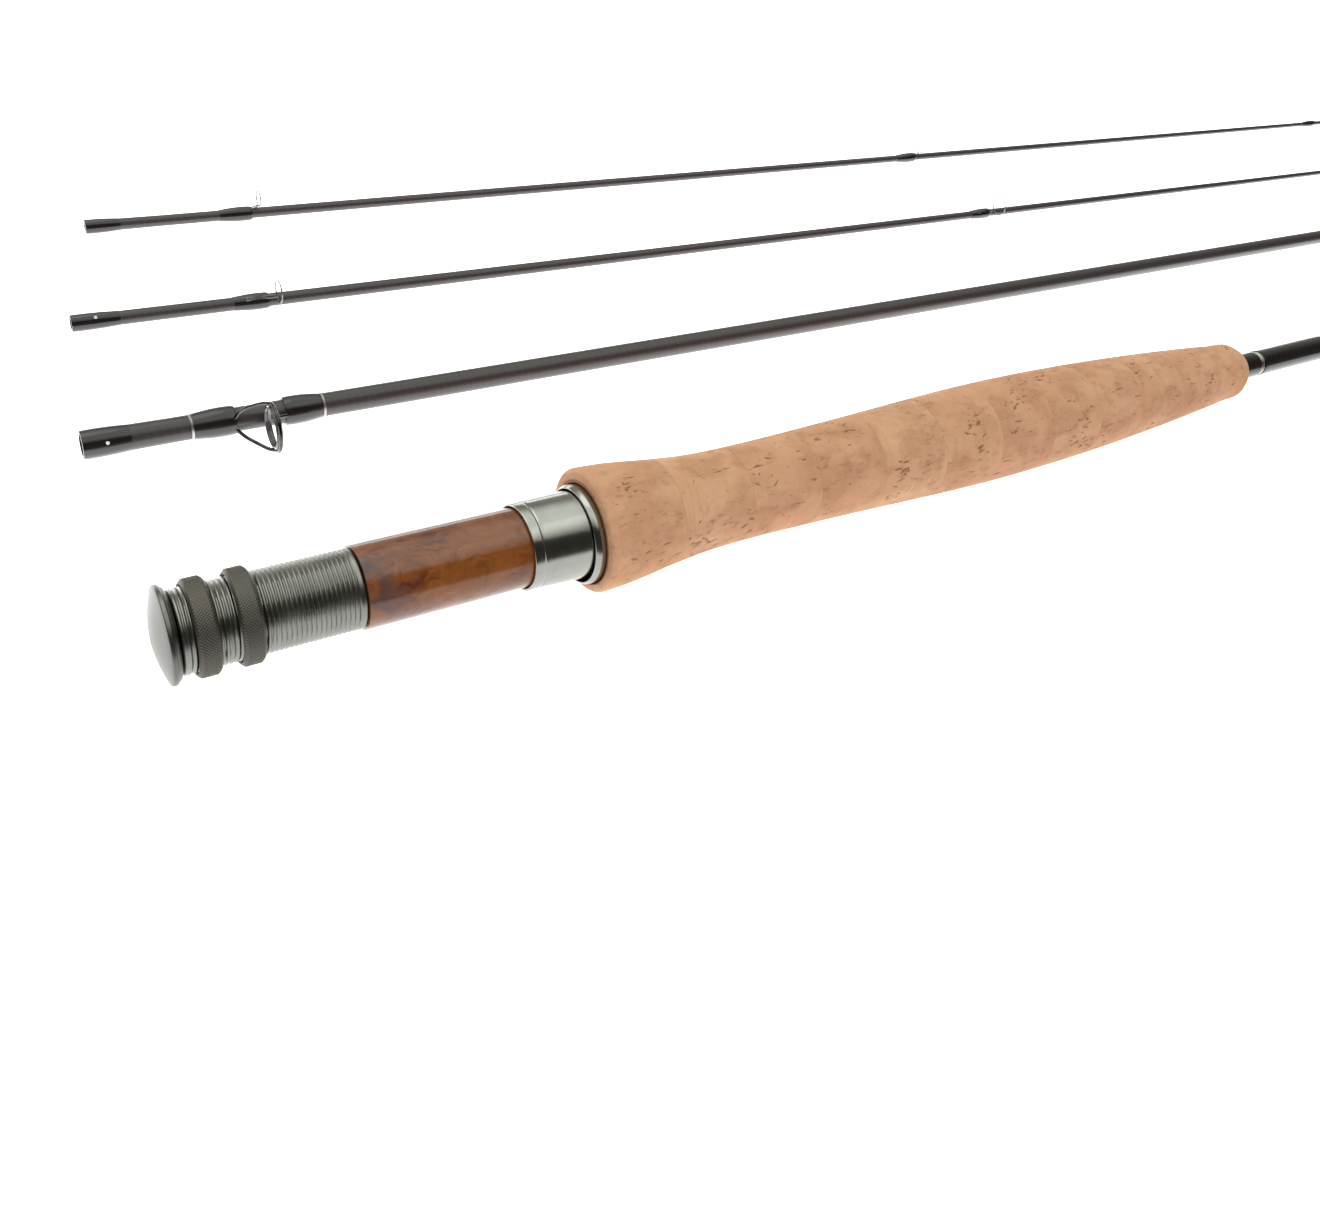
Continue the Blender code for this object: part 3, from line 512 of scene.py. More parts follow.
def wireParts(path, radius, sides=16, closed=False, flat=None, first=0):
    # A round wire along a path; flat(share) gives its width and thickness as shares of the radius
    count = len(path)
    corners = []
    across = None
    for index, point in enumerate(path):
        if closed:
            along = path[(index + 1) % count] - path[index - 1]
        else:
            along = path[min(index + 1, count - 1)] - path[max(index - 1, 0)]
        along.normalize()
        if across is None:
            across = along.cross(Vector((0, 0, 1)))
            across = across if across.length > 0.1 else along.orthogonal()
        across = (across - along * across.dot(along)).normalized()
        up = along.cross(across)
        wide, thick = flat(index / (count - 1)) if flat else (1.0, 1.0)
        for side in range(sides):
            turn = 2 * math.pi * side / sides
            corners.append(point + across * math.cos(turn) * radius * wide
                           + up * math.sin(turn) * radius * thick)
    faces = []
    for row in range(count if closed else count - 1):
        a, b = first + row * sides, first + (row + 1) % count * sides
        for side in range(sides):
            after = (side + 1) % sides
            faces.append((a + side, a + after, b + after, b + side))
    if not closed:
        faces.append(tuple(first + side for side in reversed(range(sides))))
        faces.append(tuple(first + (count - 1) * sides + side for side in range(sides)))
    return corners, faces


def rolled(corners, x, roll):
    # turns a guide's corners about the section's axis and moves them to their station
    turn = Matrix.Rotation(roll, 3, "X")
    return [turn @ Vector(corner) + Vector((x, 0.0, 0.0)) for corner in corners]


# ---- reel seat ----
cap = {"domeRadius": 9.75 * mm, "dome": 1.9 * mm, "rimRadius": 10.15 * mm, "rimEnd": 3.95 * mm,
       "plug": 5.3 * mm, "plugEnd": 10.8 * mm, "bend": 1.2}


def buttCap():
    steps = [step / 9 for step in range(1, 10)]
    full = 1 - math.cos(cap["bend"])
    corners = [(cap["dome"] * (1 - math.cos(share * cap["bend"])) / full, cap["domeRadius"] * share)
               for share in steps]
    corners[0] = (0.0, corners[0][1])
    corners += [(cap["dome"] + 0.25 * mm, cap["rimRadius"], 0.25 * mm),
                (cap["dome"] + 1.05 * mm, cap["rimRadius"], 0.15 * mm),
                (cap["dome"] + 1.25 * mm, cap["rimRadius"] - 0.35 * mm, 0.1 * mm),
                (cap["rimEnd"] - 0.55 * mm, cap["rimRadius"] - 0.45 * mm, 0.1 * mm),
                (cap["rimEnd"], cap["rimRadius"] - 0.95 * mm, 0.2 * mm), (cap["rimEnd"], cap["plug"], 0.1 * mm),
                (cap["plugEnd"], cap["plug"])]
    turnedPiece("butt_cap_visual", rounded(corners), "butt", "cap_metal", 128, stands=["butt_cap"])


barrel = {"radius": 8.75 * mm, "bore": 5.6 * mm, "pitch": 1.0 * mm, "depth": 0.32 * mm, "perTurn": 8,
          "landRear": 0.5 * mm, "landFront": 0.9 * mm}


def threadedBarrel():
    start, end = span("seat_barrel", "butt")
    threadStart, threadEnd = start + barrel["landRear"], end - barrel["landFront"]
    count = round((threadEnd - threadStart) / barrel["pitch"] * barrel["perTurn"])
    outer = [(start, barrel["radius"] - 0.35 * mm), (start + 0.3 * mm, barrel["radius"] - 0.1 * mm)]
    outer += [(threadStart + (threadEnd - threadStart) * step / count, barrel["radius"])
              for step in range(count + 1)]
    outer += [(end - 0.55 * mm, barrel["radius"]), (end - 0.2 * mm, barrel["radius"]),
              (end, barrel["radius"] - 0.2 * mm)]
    profile = outer + [(end, barrel["bore"]), (start, barrel["bore"])]

    def thread(x, angle, radius):
        phase = (x - threadStart) / barrel["pitch"] - angle / (2 * math.pi)
        wave = 0.5 + 0.5 * np.cos(2 * math.pi * phase)
        fade = np.clip((x - threadStart) / (0.6 * mm), 0, 1) * np.clip((threadEnd - x) / (0.6 * mm), 0, 1)
        cut = barrel["depth"] * (1 - wave**0.7) * fade * (radius > barrel["radius"] - 0.05 * mm)
        return x, angle, radius - cut, np.zeros_like(x)

    turnedPiece("seat_barrel_visual", profile, "butt", "pewter_metal", 96, tube=True, shape=thread,
                stands=["seat_barrel"], sharp=60.0)


lockRing = {"radius": 10.1 * mm, "bore": 9.0 * mm, "chamfer": 0.75 * mm, "teeth": 96, "depth": 0.12 * mm,
            "rows": 34, "slant": 20.0}


def knurledRing(node):
    start, end = span(node, "butt")
    width = end - start
    low, high = start + lockRing["chamfer"], end - lockRing["chamfer"]
    rows = lockRing["rows"]
    outer = [(start, lockRing["bore"] + 0.35 * mm), (start + 0.05 * mm, lockRing["radius"] - 0.7 * mm)]
    outer += [(start + 0.25 * mm, lockRing["radius"] - 0.45 * mm)]
    outer += [(low + (high - low) * step / rows, lockRing["radius"]) for step in range(rows + 1)]
    outer += [(end - 0.25 * mm, lockRing["radius"] - 0.45 * mm)]
    outer += [(end - 0.05 * mm, lockRing["radius"] - 0.7 * mm), (end, lockRing["bore"] + 0.35 * mm)]
    profile = outer + [(end, lockRing["bore"] + 0.2 * mm), (end - 0.25 * mm, lockRing["bore"]),
                       (start + 0.25 * mm, lockRing["bore"]), (start, lockRing["bore"] + 0.2 * mm)]
    segments = lockRing["teeth"] * 6
    crest = []

    def knurl(x, angle, radius):
        cut = radius > lockRing["radius"] - 0.1 * mm
        slant = (x - start) / width * lockRing["slant"]
        one = np.abs(np.sin(angle * lockRing["teeth"] / 2 + slant))
        two = np.abs(np.sin(angle * lockRing["teeth"] / 2 - slant))
        height = np.minimum(one, two) ** 0.8
        crest.append(np.where(cut, height, 0.4).ravel())
        return x, angle, radius - cut * lockRing["depth"] * (1 - height) * 1.2, np.zeros_like(x)

    corners = turnedGrid(profile, segments, knurl)
    addPiece(node + "_visual", corners, turnedFaces(len(profile), segments, True), "butt", "knurled_metal",
             rideOn=node, stands=[node], sharp=75.0, values={"height": crest[0]})


insert = {"radius": 9.25 * mm, "tenon": 7.6 * mm, "bore": 5.6 * mm}


def woodInsert():
    start, end = span("wood_insert", "butt")
    step = span("fixed_hood", "butt")[0] + 0.3 * mm
    corners = [(start, insert["bore"] + 0.5 * mm), (start, insert["radius"] - 0.05 * mm, 0.12 * mm),
               (start + 6.0 * mm, insert["radius"]), (start + 30.0 * mm, insert["radius"]),
               (step, insert["radius"], 0.1 * mm), (step, insert["tenon"]), (end, insert["tenon"]),
               (end, insert["bore"]), (start, insert["bore"])]
    turnedPiece("wood_insert_visual", rounded(corners), "butt", "burl_wood", 128, tube=True,
                stands=["wood_insert"])


hood = {"lip": 10.15 * mm, "bore": 9.5 * mm, "lipEnd": 2.3 * mm, "groove": 3.0 * mm, "neck": 10.2 * mm,
        "mouth": 10.45 * mm, "wall": 0.5 * mm, "drop": 0.3 * mm}


def slidingHood():
    start, end = span("sliding_hood", "butt")
    waist = start + hood["groove"]
    corners = [(start, hood["bore"] + 0.15 * mm), (start, hood["lip"], 0.35 * mm),
               (start + hood["lipEnd"], hood["lip"] + 0.05 * mm, 0.25 * mm),
               (start + hood["lipEnd"] + 0.3 * mm, hood["lip"] - 0.12 * mm, 0.15 * mm),
               (waist, hood["neck"], 0.5 * mm)]
    corners += [(waist + (end - waist) * share, hood["neck"] + (hood["mouth"] - hood["neck"]) * share)
                for share in (0.25, 0.5, 0.75)]
    corners += [(end, hood["mouth"], 0.22 * mm), (end, hood["mouth"] - hood["wall"], 0.15 * mm)]
    flare = hood["mouth"] - hood["wall"] - hood["bore"]
    corners += [(waist + (end - waist) * share, hood["bore"] + flare * share) for share in (0.7, 0.35, 0.0)]
    corners += [(start + 0.2 * mm, hood["bore"])]

    def lean(x, angle, radius):
        share = np.clip((x - waist) / (end - waist), 0, 1)
        return x, angle, radius, -hood["drop"] * share

    turnedPiece("sliding_hood_visual", rounded(corners), "butt", "polished_metal", 128, tube=True, shape=lean,
                rideOn="sliding_hood", stands=["sliding_hood"])


cup = {"radius": 11.9 * mm, "bore": 11.0 * mm, "floor": 4.0 * mm, "hole": 4.35 * mm, "drop": 0.7 * mm,
       "rim": 0.9 * mm}


def fixedHood():
    start, end = span("fixed_hood", "butt")
    floor = end - cup["floor"]
    rim = start - cup["rim"]
    corners = [(floor, cup["hole"]), (floor, cup["bore"], 0.5 * mm), (rim + 0.5 * mm, cup["bore"], 0.2 * mm),
               (rim, cup["bore"] + 0.18 * mm, 0.12 * mm), (rim + 0.05 * mm, cup["bore"] + 0.4 * mm, 0.12 * mm),
               (rim + 1.0 * mm, cup["radius"], 0.35 * mm), (end, cup["radius"], 0.2 * mm), (end, cup["hole"])]

    def lower(x, angle, radius):
        return x, angle, radius, -cup["drop"] * (radius > cup["hole"] + 1.0 * mm)

    turnedPiece("fixed_hood_visual", rounded(corners), "butt", "polished_metal", 128, tube=True, shape=lower,
                stands=["fixed_hood"])


def plainTube(node, section, look, ends=0.0):
    # a turned CAD tube again, smoother, with the same outline and its own bore
    points, radius = turnedCorners(node, section)
    outer = outline(node, section)
    first, last = outer[0][0], outer[-1][0]
    bores = [float(radius[np.abs(points[:, 0] - x) < 0.05 * mm].min()) for x in (first, last)]
    corners = [(first, outer[0][1] - ends)] + [(first + ends, outer[0][1])] * bool(ends) + outer[1:]
    profile = corners + [(last, bores[1]), (first, bores[0])]
    turnedPiece(node + "_visual", profile, section, look, 64, tube=True, stands=[node])


buttCap()
threadedBarrel()
for ringNode in ("lock_ring_rear", "lock_ring_front"):
    knurledRing(ringNode)
woodInsert()
slidingHood()
fixedHood()
for arborNode in ("seat_arbor_rear", "seat_arbor_front"):
    plainTube(arborNode, "butt", "arbor_foam")
print("reel seat done")


# ---- cork grip ----
grip = {"rings": 12, "rearEdge": 1.1 * mm, "seam": 0.13 * mm, "seamEdge": 0.07 * mm, "segments": 200,
        "spacing": 0.48 * mm, "pitDepth": 0.20 * mm, "clusters": 6, "cracks": 6, "specks": 20,
        "sanded": 0.022, "nose": 4.5 * mm, "seed": 40, "lipDrop": 0.8 * mm}


def gripOutline():
    # the whole grip's outline through the cork rings' own stations, smoothed between them
    points = []
    for number in range(grip["rings"]):
        points += outline(f"cork_ring_{number + 1:02d}", "butt")
    start, end = points[0][0], points[-1][0]
    fine = np.arange(start, end, 0.25 * mm)
    noseStart = end - grip["nose"]
    body = [point for point in points if start + 0.4 * mm < point[0] < noseStart - 0.1 * mm]
    radius = np.interp(fine, [point[0] for point in body], [point[1] for point in body])
    window = np.hanning(61)
    padded = np.pad(radius, 30, mode="edge")
    smooth = np.convolve(padded, window / window.sum(), mode="valid")
    nose = [point for point in points if point[0] >= noseStart - 0.1 * mm]
    tip = np.interp(fine, [point[0] for point in nose], [point[1] for point in nose])
    drop = np.where(fine > noseStart, np.minimum(tip - np.interp(noseStart, fine, radius), 0.0), 0.0)
    # the sanded cork stands a little above its coarse outline, except at both ends
    full = np.clip((fine - start) / (8 * mm), 0, 1) * np.clip((end - 5 * mm - fine) / (12 * mm), 0, 1)
    return fine, smooth * (1 + grip["sanded"] * full) + drop, start, end


def corkPits(x, around, length, girth, seed):
    # dark lenticels of the cork: clusters of short streaks, a few long cracks, and specks
    rng = np.random.default_rng(seed)
    marks = []
    for cluster in range(grip["clusters"]):
        middle = (rng.uniform(0, length), rng.uniform(0, girth))
        reach = (rng.uniform(1.2, 3.2) * mm, rng.uniform(1.2, 4.5) * mm)
        for streak in range(rng.integers(6, 18)):
            marks.append((middle[0] + rng.normal(0, reach[0]), middle[1] + rng.normal(0, reach[1]),
                          rng.uniform(0.5, 2.0) * mm, rng.uniform(0.22, 0.50) * mm, rng.normal(0, 0.25)))
    for crack in range(grip["cracks"]):
        marks.append((rng.uniform(0, length), rng.uniform(0, girth), rng.uniform(2.2, 5.0) * mm,
                      rng.uniform(0.18, 0.30) * mm, rng.normal(0, 0.12)))
    for speck in range(grip["specks"]):
        marks.append((rng.uniform(0, length), rng.uniform(0, girth), rng.uniform(0.25, 0.7) * mm,
                      rng.uniform(0.22, 0.40) * mm, rng.normal(0, 0.5)))
    pit = np.zeros_like(x)
    for index, (atX, atRound, half, width, tilt) in enumerate(marks):
        u = x - atX
        v = (around - atRound + girth / 2) % girth - girth / 2 - tilt * u
        v = v + np.sin(u / (0.55 * mm) + index) * 0.10 * mm
        pit = np.maximum(pit, 1 - (u / half) ** 2 - (v / width) ** 2)
    return np.clip(pit, 0, 1)


def corkRings():
    fine, radii, gripStart, gripEnd = gripOutline()
    cupEnd = span("fixed_hood", "butt")[1]
    recess = cup["radius"] + 0.3 * mm
    for number in range(grip["rings"]):
        node = f"cork_ring_{number + 1:02d}"
        start, end = span(node, "butt")
        start -= grip["seam"] if number else 0.0
        end += grip["seam"] if number < grip["rings"] - 1 else 0.0
        count = round((end - start) / grip["spacing"])
        stations = np.linspace(start, end, count + 1)
        if number == 0:
            bend = grip["rearEdge"] * (1 - np.cos(np.linspace(0, math.pi / 2, 8)))
            stations = np.concatenate([start + bend, stations[stations > start + grip["rearEdge"] * 1.1]])
        edge = np.interp(stations, fine, radii)
        if number == 0:
            near = np.clip(grip["rearEdge"] - (stations - start), 0, None)
            edge = edge - (grip["rearEdge"] - np.sqrt(grip["rearEdge"] ** 2 - near**2))
        else:
            edge[0] -= grip["seamEdge"]
        if number < grip["rings"] - 1:
            edge[-1] -= grip["seamEdge"]
        bore = radiusAt(outline("butt_blank", "butt"), start) + 0.3 * mm
        outer = list(zip(stations.tolist(), edge.tolist()))
        if number == 0:
            face = outer[0][1]
            outer = [(start, recess), (start, recess + 0.2 * mm), (start, (recess + face) / 2)] + outer
            inner = [(end, bore), (cupEnd + 0.3 * mm, bore), (cupEnd + 0.3 * mm, recess)]
        else:
            inner = [(end, bore), (start, bore)]
        profile = outer + inner
        segments = grip["segments"]
        found = []

        def pitted(x, angle, radius):
            girth = 2 * math.pi * float(edge.mean())
            around = (angle % (2 * math.pi)) / (2 * math.pi) * girth
            pit = corkPits(x - start, around, end - start, girth, grip["seed"] + number)
            outside = radius > bore + 0.5 * mm
            lift = np.zeros_like(x)
            if number == 0:
                # the recess follows the cup, which sits a little low in the cork
                rearFace = np.abs(x - start) < 0.01 * mm
                # the first ring's rear face round the cup's recess is marked as a full dark mark: painted shade
                # in the gap beside the cup
                pit = np.where(rearFace & (radius < recess + 0.4 * mm), 1.0, pit)
                lip = rearFace & (np.abs(radius - recess) < 0.25 * mm)
                lift = np.where(lip | (np.abs(radius - recess) < 0.01 * mm), -grip["lipDrop"], 0.0)
            found.append((pit * outside).ravel())
            depth = grip["pitDepth"] * pit * outside * (x > start + 0.05 * mm) * (x < end - 0.05 * mm)
            return x, angle, radius - depth, lift

        corners = turnedGrid(profile, segments, pitted)
        addPiece(node + "_visual", corners, turnedFaces(len(profile), segments, True), "butt", "cork",
                 stands=[node], sharp=65.0, values={"pit": found[0]})


corkRings()
print("grip done")


# ---- blanks, ferrules and windings ----
def solidTurned(node, section, look):
    turnedPiece(node + "_visual", outline(node, section), section, look, 48, stands=[node])


swells = {
    # share of a winding's length, share of its full height
    "ferrule": ((0.0, 0.70), (0.06, 0.92), (0.30, 1.0), (0.65, 0.72), (1.0, 0.12)),
    "rear": ((0.0, 0.14), (0.12, 0.42), (0.45, 0.90), (0.75, 1.0), (0.94, 0.86), (1.0, 0.62)),
    "front": ((0.0, 0.62), (0.06, 0.86), (0.25, 1.0), (0.55, 0.90), (0.88, 0.42), (1.0, 0.14)),
    "long": ((0.0, 0.45), (0.03, 0.85), (0.10, 1.0), (0.90, 1.0), (0.97, 0.85), (1.0, 0.45)),
}


def windingPiece(node, section, blank, swell):
    # thread and varnish over the blank, as thick along its length as its swell says
    start, end = span(node, section)
    low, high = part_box(node)
    full = (high[1] - low[1]) / 2
    base = outline(blank, section)
    shares = smoothPath([(share, height, 0.0) for share, height in swells[swell]], 0.03)
    outer = []
    for point in shares:
        x = start + (end - start) * min(max(point.x, 0.0), 1.0)
        surface = radiusAt(base, x)
        outer.append((x, surface + (full - surface) * min(point.y, 1.0)))
    inner = radiusAt(base, start) + 0.03 * mm, radiusAt(base, end) + 0.03 * mm
    profile = [(start, inner[0])] + outer + [(end, inner[1])]
    turnedPiece(node + "_visual", profile, section, "winding", 64, tube=True, stands=[node])


def trimPiece(node, section, blank, turns=3):
    # a few turns of bright metal thread side by side
    start, end = span(node, section)
    surface = radiusAt(outline(blank, section), (start + end) / 2)
    outer = []
    for step in range(turns * 8 + 1):
        t = step / (turns * 8)
        bulge = abs(math.sin(math.pi * turns * t)) ** 0.6
        outer.append((start + (end - start) * t, surface + 0.10 * mm + 0.17 * mm * bulge))
    profile = [(start, surface + 0.03 * mm)] + outer + [(end, surface + 0.03 * mm)]
    turnedPiece(node + "_visual", profile, section, "silver_trim", 64, tube=True, stands=[node])


check = {"rear": 4.7 * mm, "waist": 4.25 * mm}


def windingCheck():
    start, end = span("winding_check", "butt")
    bore = radiusAt(outline("butt_blank", "butt"), start) + 0.1 * mm
    corners = [(start, bore), (start, check["rear"], 0.15 * mm),
               (start + 0.75 * mm, check["rear"], 0.15 * mm),
               (start + 0.95 * mm, check["waist"], 0.1 * mm), (start + 1.6 * mm, check["waist"], 0.2 * mm),
               (end, bore + 0.25 * mm, 0.05 * mm), (end, bore)]
    turnedPiece("winding_check_visual", rounded(corners), "butt", "silver_trim", 64, tube=True,
                stands=["winding_check"])


windingCheck()
plainTube("butt_blank", "butt", "graphite", ends=0.2 * mm)
solidTurned("butt_spigot", "butt", "graphite")
windingPiece("keeper_winding", "butt", "butt_blank", "long")
windingPiece("long_winding", "butt", "butt_blank", "long")
for band in ("butt_trim_band_1", "butt_trim_band_2"):
    trimPiece(band, "butt", "butt_blank")
for number in (2, 3, 4):
    part = f"section_{number}"
    plainTube(f"blank_{number}", part, "graphite", ends=0.15 * mm)
    windingPiece(f"ferrule_winding_{number}", part, f"blank_{number}", "ferrule")
    if number < 4:
        solidTurned(f"spigot_{number}", part, "graphite")
windingPiece("strip_winding_rear", "section_2", "blank_2", "rear")
windingPiece("strip_winding_front", "section_2", "blank_2", "front")
for band in ("trim_band_rear", "trim_band_front"):
    trimPiece(band, "section_2", "blank_2")
print("blanks and windings done")

dot = {"radius": 0.42 * mm, "height": 0.08 * mm, "roll": {2: math.radians(55), 3: math.radians(30)}}


def alignmentDot(number):
    section = f"section_{number}"
    start, end = span(f"ferrule_winding_{number}", section)
    low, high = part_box(f"ferrule_winding_{number}")
    surface = (high[1] - low[1]) / 2
    middle = (start + end) / 2
    rings, sides = 6, 32
    corners = []
    for ring in range(rings, -1, -1):
        reach = dot["radius"] * ring / rings
        rise = surface + dot["height"] * math.sqrt(max(0.0, 1 - (ring / rings) ** 2)) - 0.02 * mm
        for side in range(sides):
            turn = 2 * math.pi * side / sides
            angle = -dot["roll"][number] + reach * math.sin(turn) / surface
            corners.append((middle + reach * math.cos(turn), rise * math.sin(angle), rise * math.cos(angle)))
    faces = []
    for row in range(rings):
        for side in range(sides):
            after = (side + 1) % sides
            a, b = row * sides, (row + 1) * sides
            faces.append((a + side, b + side, b + after, a + after))
    faces.append(tuple(range(sides)))
    addPiece(f"alignment_dot_{number}_visual", corners, faces, section, "white_paint",
             stands=[f"alignment_dot_{number}"])


alignmentDot(2)
alignmentDot(3)

# ---- guides ----
def joinedPiece(name, strands, section, look, x=0.0, roll=0.0, **more):
    # strands: the keyword values of several wires, made into one piece
    corners, faces = [], []
    for strand in strands:
        some, sides = wireParts(first=len(corners), **strand)
        corners += some
        faces += sides
    addPiece(name, rolled(corners, x, roll), faces, section, look, **more)


ringGuide = {
    "large": {"ring": 3.10 * mm, "wire": 0.20 * mm, "lift": 0.2 * mm, "spread": 0.36 * mm, "reach": 2.2 * mm},
    "small": {"ring": 2.40 * mm, "wire": 0.18 * mm, "lift": 0.9 * mm, "spread": 0.36 * mm, "reach": 2.2 * mm},
}
guideRows = (
    (2, "a", "large", 68), (3, "a", "large", 32), (3, "b", "large", 32), (3, "c", "large", 32),
    (4, "a", "small", 0), (4, "b", "small", 0), (4, "c", "small", 0),
)


def ringGuides():
    for number, letter, kind, roll in guideRows:
        section, node = f"section_{number}", f"ring_guide_{number}{letter}"
        size = ringGuide[kind]
        base = outline(f"blank_{number}", section)
        start, end = span(node, section)
        station = end - size["wire"]
        foot = radiusAt(base, station - size["reach"]) + 0.1 * mm + size["wire"]
        centre = radiusAt(base, station) + size["lift"] + size["wire"] + size["ring"]
        gap = math.asin(size["spread"] / size["ring"])
        apart, reach = size["spread"], size["reach"]
        leg = [(start - station + size["wire"], apart, foot), (-reach * 2, apart, foot),
               (-reach, apart, foot), (-reach * 0.45, apart, foot + 0.2 * mm)]
        loop = []
        for step in range(25):
            turn = gap + (2 * math.pi - 2 * gap) * step / 24
            loop.append((0.0, size["ring"] * math.sin(turn), centre - size["ring"] * math.cos(turn)))
        back = [(x, -y, z) for x, y, z in reversed(leg)]
        path = smoothPath(leg + loop + back, 0.35 * mm)
        joinedPiece(node + "_visual", [{"path": path, "radius": size["wire"], "sides": 12}], section,
                    "guide_wire", station, math.radians(roll), stands=[node])
        windingPiece(node.replace("ring_guide", "guide_winding"), section, f"blank_{number}", "rear")


ringGuides()

strip = {"ring": 6.05 * mm, "wire": 0.48 * mm, "centre": 9.8 * mm, "roll": math.radians(68),
         "station": 42.0 * mm, "insertInner": 4.7 * mm, "insertOuter": 5.52 * mm, "insertWidth": 1.7 * mm,
         "foot": 3.36 * mm}


def strippingGuide():
    rearStart, rearEnd = (x - strip["station"] for x in span("strip_winding_rear", "section_2"))
    frontStart, frontEnd = (x - strip["station"] for x in span("strip_winding_front", "section_2"))
    ringRadius, centre, foot = strip["ring"], strip["centre"], strip["foot"]
    ring = []
    for step in range(72):
        turn = 2 * math.pi * step / 72
        ring.append(Vector((0.0, ringRadius * math.sin(turn), centre - ringRadius * math.cos(turn))))
    strands = [{"path": ring, "radius": strip["wire"], "sides": 16, "closed": True}]
    for side in (1, -1):
        leg = [(rearStart + 4 * mm, side * 0.5 * mm, foot), (rearEnd - 3.0 * mm, side * 0.6 * mm, foot),
               (rearEnd - 1.0 * mm, side * 1.2 * mm, foot - 0.16 * mm),
               (rearEnd + 0.4 * mm, side * 2.6 * mm, foot - 0.1 * mm),
               (rearEnd * 0.74, side * 3.9 * mm, centre * 0.44),
               (rearEnd * 0.45, side * ringRadius * 0.85, centre * 0.64),
               (rearEnd * 0.20, side * ringRadius * 0.99, centre * 0.85),
               (0.0, side * ringRadius, centre * 1.02)]
        strands.append({"path": smoothPath(leg, 0.4 * mm), "radius": strip["wire"] * 0.92, "sides": 14,
                        "flat": lambda share: (1.1, 0.40 + 0.60 * min(share * 2.0, 1.0) ** 2)})
    brace = [(0.0, 0.0, centre - ringRadius - 0.1 * mm),
             (frontStart * 0.35, 0.0, centre - ringRadius - 0.35 * mm),
             (frontStart * 0.8, 0.0, foot + 0.1 * mm), (frontStart + 2 * mm, 0.0, foot),
             (frontEnd - 5.5 * mm, 0.0, foot - 0.15 * mm)]
    strands.append({"path": smoothPath(brace, 0.4 * mm), "radius": strip["wire"] * 0.9, "sides": 14,
                    "flat": lambda share: (1.0 + 0.6 * share, 1.0 - 0.72 * share)})
    joinedPiece("strip_guide_frame_visual", strands, "section_2", "frame_wire",
                strip["station"], strip["roll"], stands=["strip_guide_frame"])

    half = strip["insertWidth"] / 2
    inner, outer = strip["insertInner"], strip["insertOuter"]
    profile = []
    for step in range(24):
        turn = 2 * math.pi * step / 24
        profile.append((-half * math.cos(turn), (inner + outer) / 2 + (outer - inner) / 2 * math.sin(turn)))
    corners = turnedGrid(profile, 96)
    corners = [Vector(corner) + Vector((0.0, 0.0, centre)) for corner in corners]
    addPiece("strip_guide_insert_visual", rolled(corners, strip["station"], strip["roll"]),
             turnedFaces(len(profile), 96, True), "section_2", "ceramic", stands=["strip_guide_insert"])


strippingGuide()

tip = {"ring": 2.1 * mm, "wire": 0.33 * mm, "nose": 1.6 * mm}


def tipTop():
    start, end = span("tip_top", "section_4")
    base = outline("blank_4", "section_4")
    blankEnd = base[-1][0]
    bore = radiusAt(base, start) + 0.1 * mm
    outer = bore + 0.3 * mm
    nose = blankEnd + 0.3 * mm + tip["nose"]
    tube = [(start, bore), (start, outer, 0.1 * mm), (blankEnd, outer, 0.3 * mm), (nose, outer * 0.8, 0.3 * mm),
            (nose, 0.3 * mm), (blankEnd + 0.3 * mm, 0.3 * mm), (blankEnd + 0.3 * mm, bore)]
    profile = rounded(tube)
    corners = [Vector(corner) for corner in turnedGrid(profile, 48)]
    faces = turnedFaces(len(profile), 48, True)
    spread = math.asin(0.5 * outer / tip["ring"])
    centre = (nose + tip["ring"] * 0.45, tip["ring"] * 0.95)
    loop = []
    for step in range(25):
        turn = spread + (2 * math.pi - 2 * spread) * step / 24
        fall = tip["ring"] * math.cos(turn)
        loop.append((centre[0] - fall * 0.5, tip["ring"] * math.sin(turn), centre[1] - fall * 0.87))
    root = (nose - 0.9 * mm, 0.3 * outer, 0.0)
    path = smoothPath([root] + loop + [(root[0], -root[1], root[2])], 0.3 * mm)
    some, sides = wireParts(path, tip["wire"], 12, first=len(corners))
    addPiece("tip_top_visual", corners + some, faces + sides, "section_4", "guide_wire", stands=["tip_top"])


tipTop()
windingPiece("tip_winding", "section_4", "blank_4", "rear")
print("guides done")

# ---- floor, light and camera ----
studio = {"floorTint": (0.36, 0.36, 0.36), "floorGrain": (0.40, 0.40, 0.40), "floorGlow": 2.15,
          "floorSize": 6.0, "floorDrop": 0.2 * mm, "sky": 1.40, "front": 0.05, "back": 0.42,
          "key": 2.0, "fill": 1.2, "low": 6.5}


def floorNodes(maker):
    # a light table: bright under the rod, dimmer in front of it, dark further out
    place = maker.place()
    x, y, z = maker.apart(place)
    grain = maker.noise(place, 40.0, 2.0)
    tint = maker.mix(grain, studio["floorTint"], studio["floorGrain"])
    lit = maker.spread(y, -0.11, -0.02, 0.42, 1.0) * maker.spread(y, -0.42, -0.20, 0.05, 1.0)
    return {"Base Color": tint, "Roughness": 0.7 + grain * 0.1,
            "Emission Color": maker.mix(lit, (0.0, 0.0, 0.0), (1.0, 1.0, 1.0))}


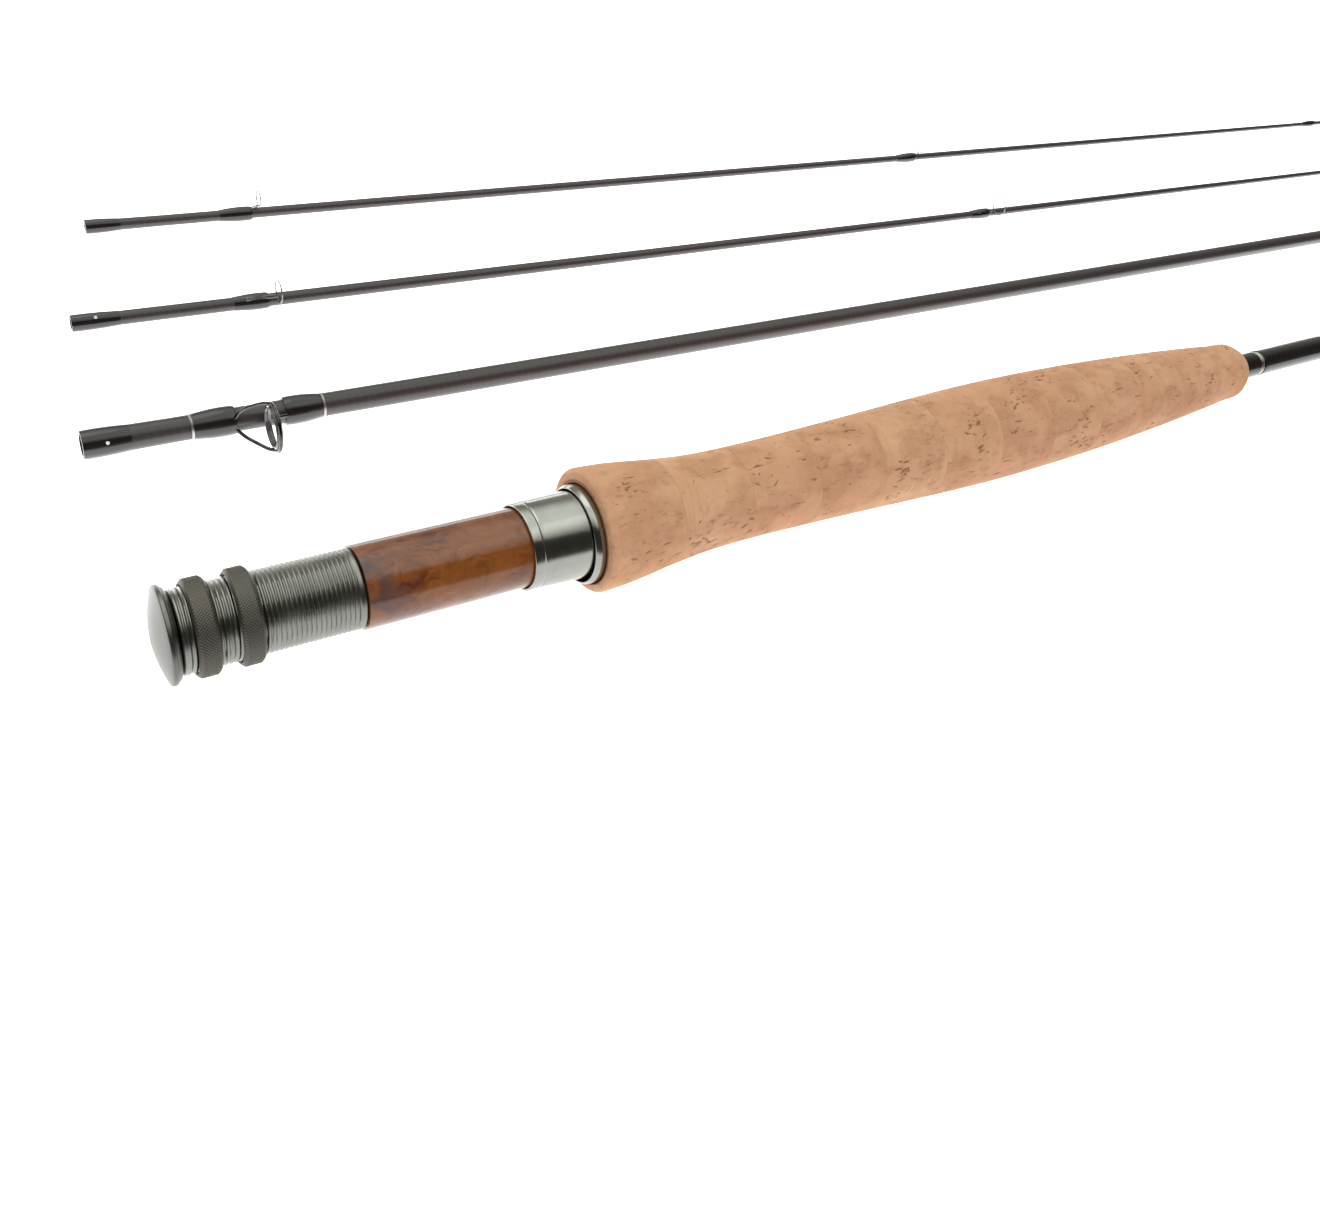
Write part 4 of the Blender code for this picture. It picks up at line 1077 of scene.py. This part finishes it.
floorFinish = finish("floor_paper", floorNodes, **{"Emission Strength": studio["floorGlow"]})
half = studio["floorSize"] / 2
floorMesh = bpy.data.meshes.new("floor")
floorMesh.from_pydata([(-half, -half, 0.0), (half, -half, 0.0), (half, half, 0.0), (-half, half, 0.0)], [],
                      [(0, 1, 2, 3)])
floorMesh.materials.append(floorFinish)
floor = bpy.data.objects.new("floor", floorMesh)
bpy.context.scene.collection.objects.link(floor)
floor.location.z = -studio["floorDrop"]


def softRoom():
    # a bright ceiling over a dark horizon, which polished metal mirrors
    # the camera itself sees plain white
    world = bpy.data.worlds.new("studio")
    world.use_nodes = True
    bpy.context.scene.world = world
    maker = Maker(world.node_tree)
    direction = maker.node("TexCoord", out="Generated")
    x, y, z = maker.apart(direction)
    horizon = maker.spread(y, -0.1, 0.6, studio["front"], studio["back"])
    ceiling = maker.spread(z + y * 0.25, 0.60, 0.86)
    strength = horizon + ceiling * (studio["sky"] - horizon)
    tint = maker.mix(ceiling, (1.0, 0.95, 0.86), (0.97, 1.0, 0.93))
    mirrored = maker.node("Background", {}, {"Color": tint, "Strength": strength})
    plain = maker.node("Background", {}, {"Color": (1.0, 1.0, 1.0, 1.0), "Strength": 1.0})
    seen = maker.node("LightPath", out="Is Camera Ray")
    both = maker.node("MixShader", {}, {"Fac": seen, 1: mirrored, 2: plain})
    maker.end("OutputWorld", both)


softRoom()


def areaLight(name, place, aim, size, power, mirrored=True):
    light = bpy.data.lights.new(name, "AREA")
    light.shape = "DISK"
    light.size = size
    light.energy = power
    lamp = bpy.data.objects.new(name, light)
    bpy.context.scene.collection.objects.link(lamp)
    lamp.location = place
    lamp.visible_glossy = mirrored
    lamp.rotation_euler = (Vector(aim) - Vector(place)).to_track_quat("-Z", "Y").to_euler()


areaLight("key_light", (-0.5, 0.7, 1.3), (-0.15, 0.0, 0.0), 1.0, studio["key"])
areaLight("fill_light", (0.6, -0.5, 1.4), (-0.05, 0.0, 0.0), 1.2, studio["fill"])
# a low front light that brightens the cork's near side and leaves the dark band in the metal
areaLight("front_light", (-0.35, -1.3, 0.35), (-0.1, 0.0, 0.0), 1.2, studio["low"], mirrored=False)

view = {"place": (-26.3 * mm, -158.7 * mm, 213.4 * mm), "look": (0.5022, 0.5829, -0.6387),
        "up": (0.1817, 0.6511, 0.7370), "lens": 32.727, "shift": -0.12576}


def addCamera():
    # place is measured from the butt cap's middle, on the floor
    camera = bpy.data.objects.new("camera", bpy.data.cameras.new("camera"))
    bpy.context.scene.collection.objects.link(camera)
    look = Vector(view["look"]).normalized()
    right = look.cross(Vector(view["up"])).normalized()
    up = right.cross(look)
    turn = Matrix((right, up, -look)).transposed()
    butt = origins["butt"]
    camera.location = Vector((butt[0], butt[1], 0.0)) + Vector(view["place"])
    camera.rotation_euler = turn.to_euler()
    camera.data.lens = view["lens"]
    camera.data.shift_y = view["shift"]
    camera.data.clip_start = 0.005
    bpy.context.scene.camera = camera


addCamera()
bpy.context.scene.view_settings.view_transform = "Standard"
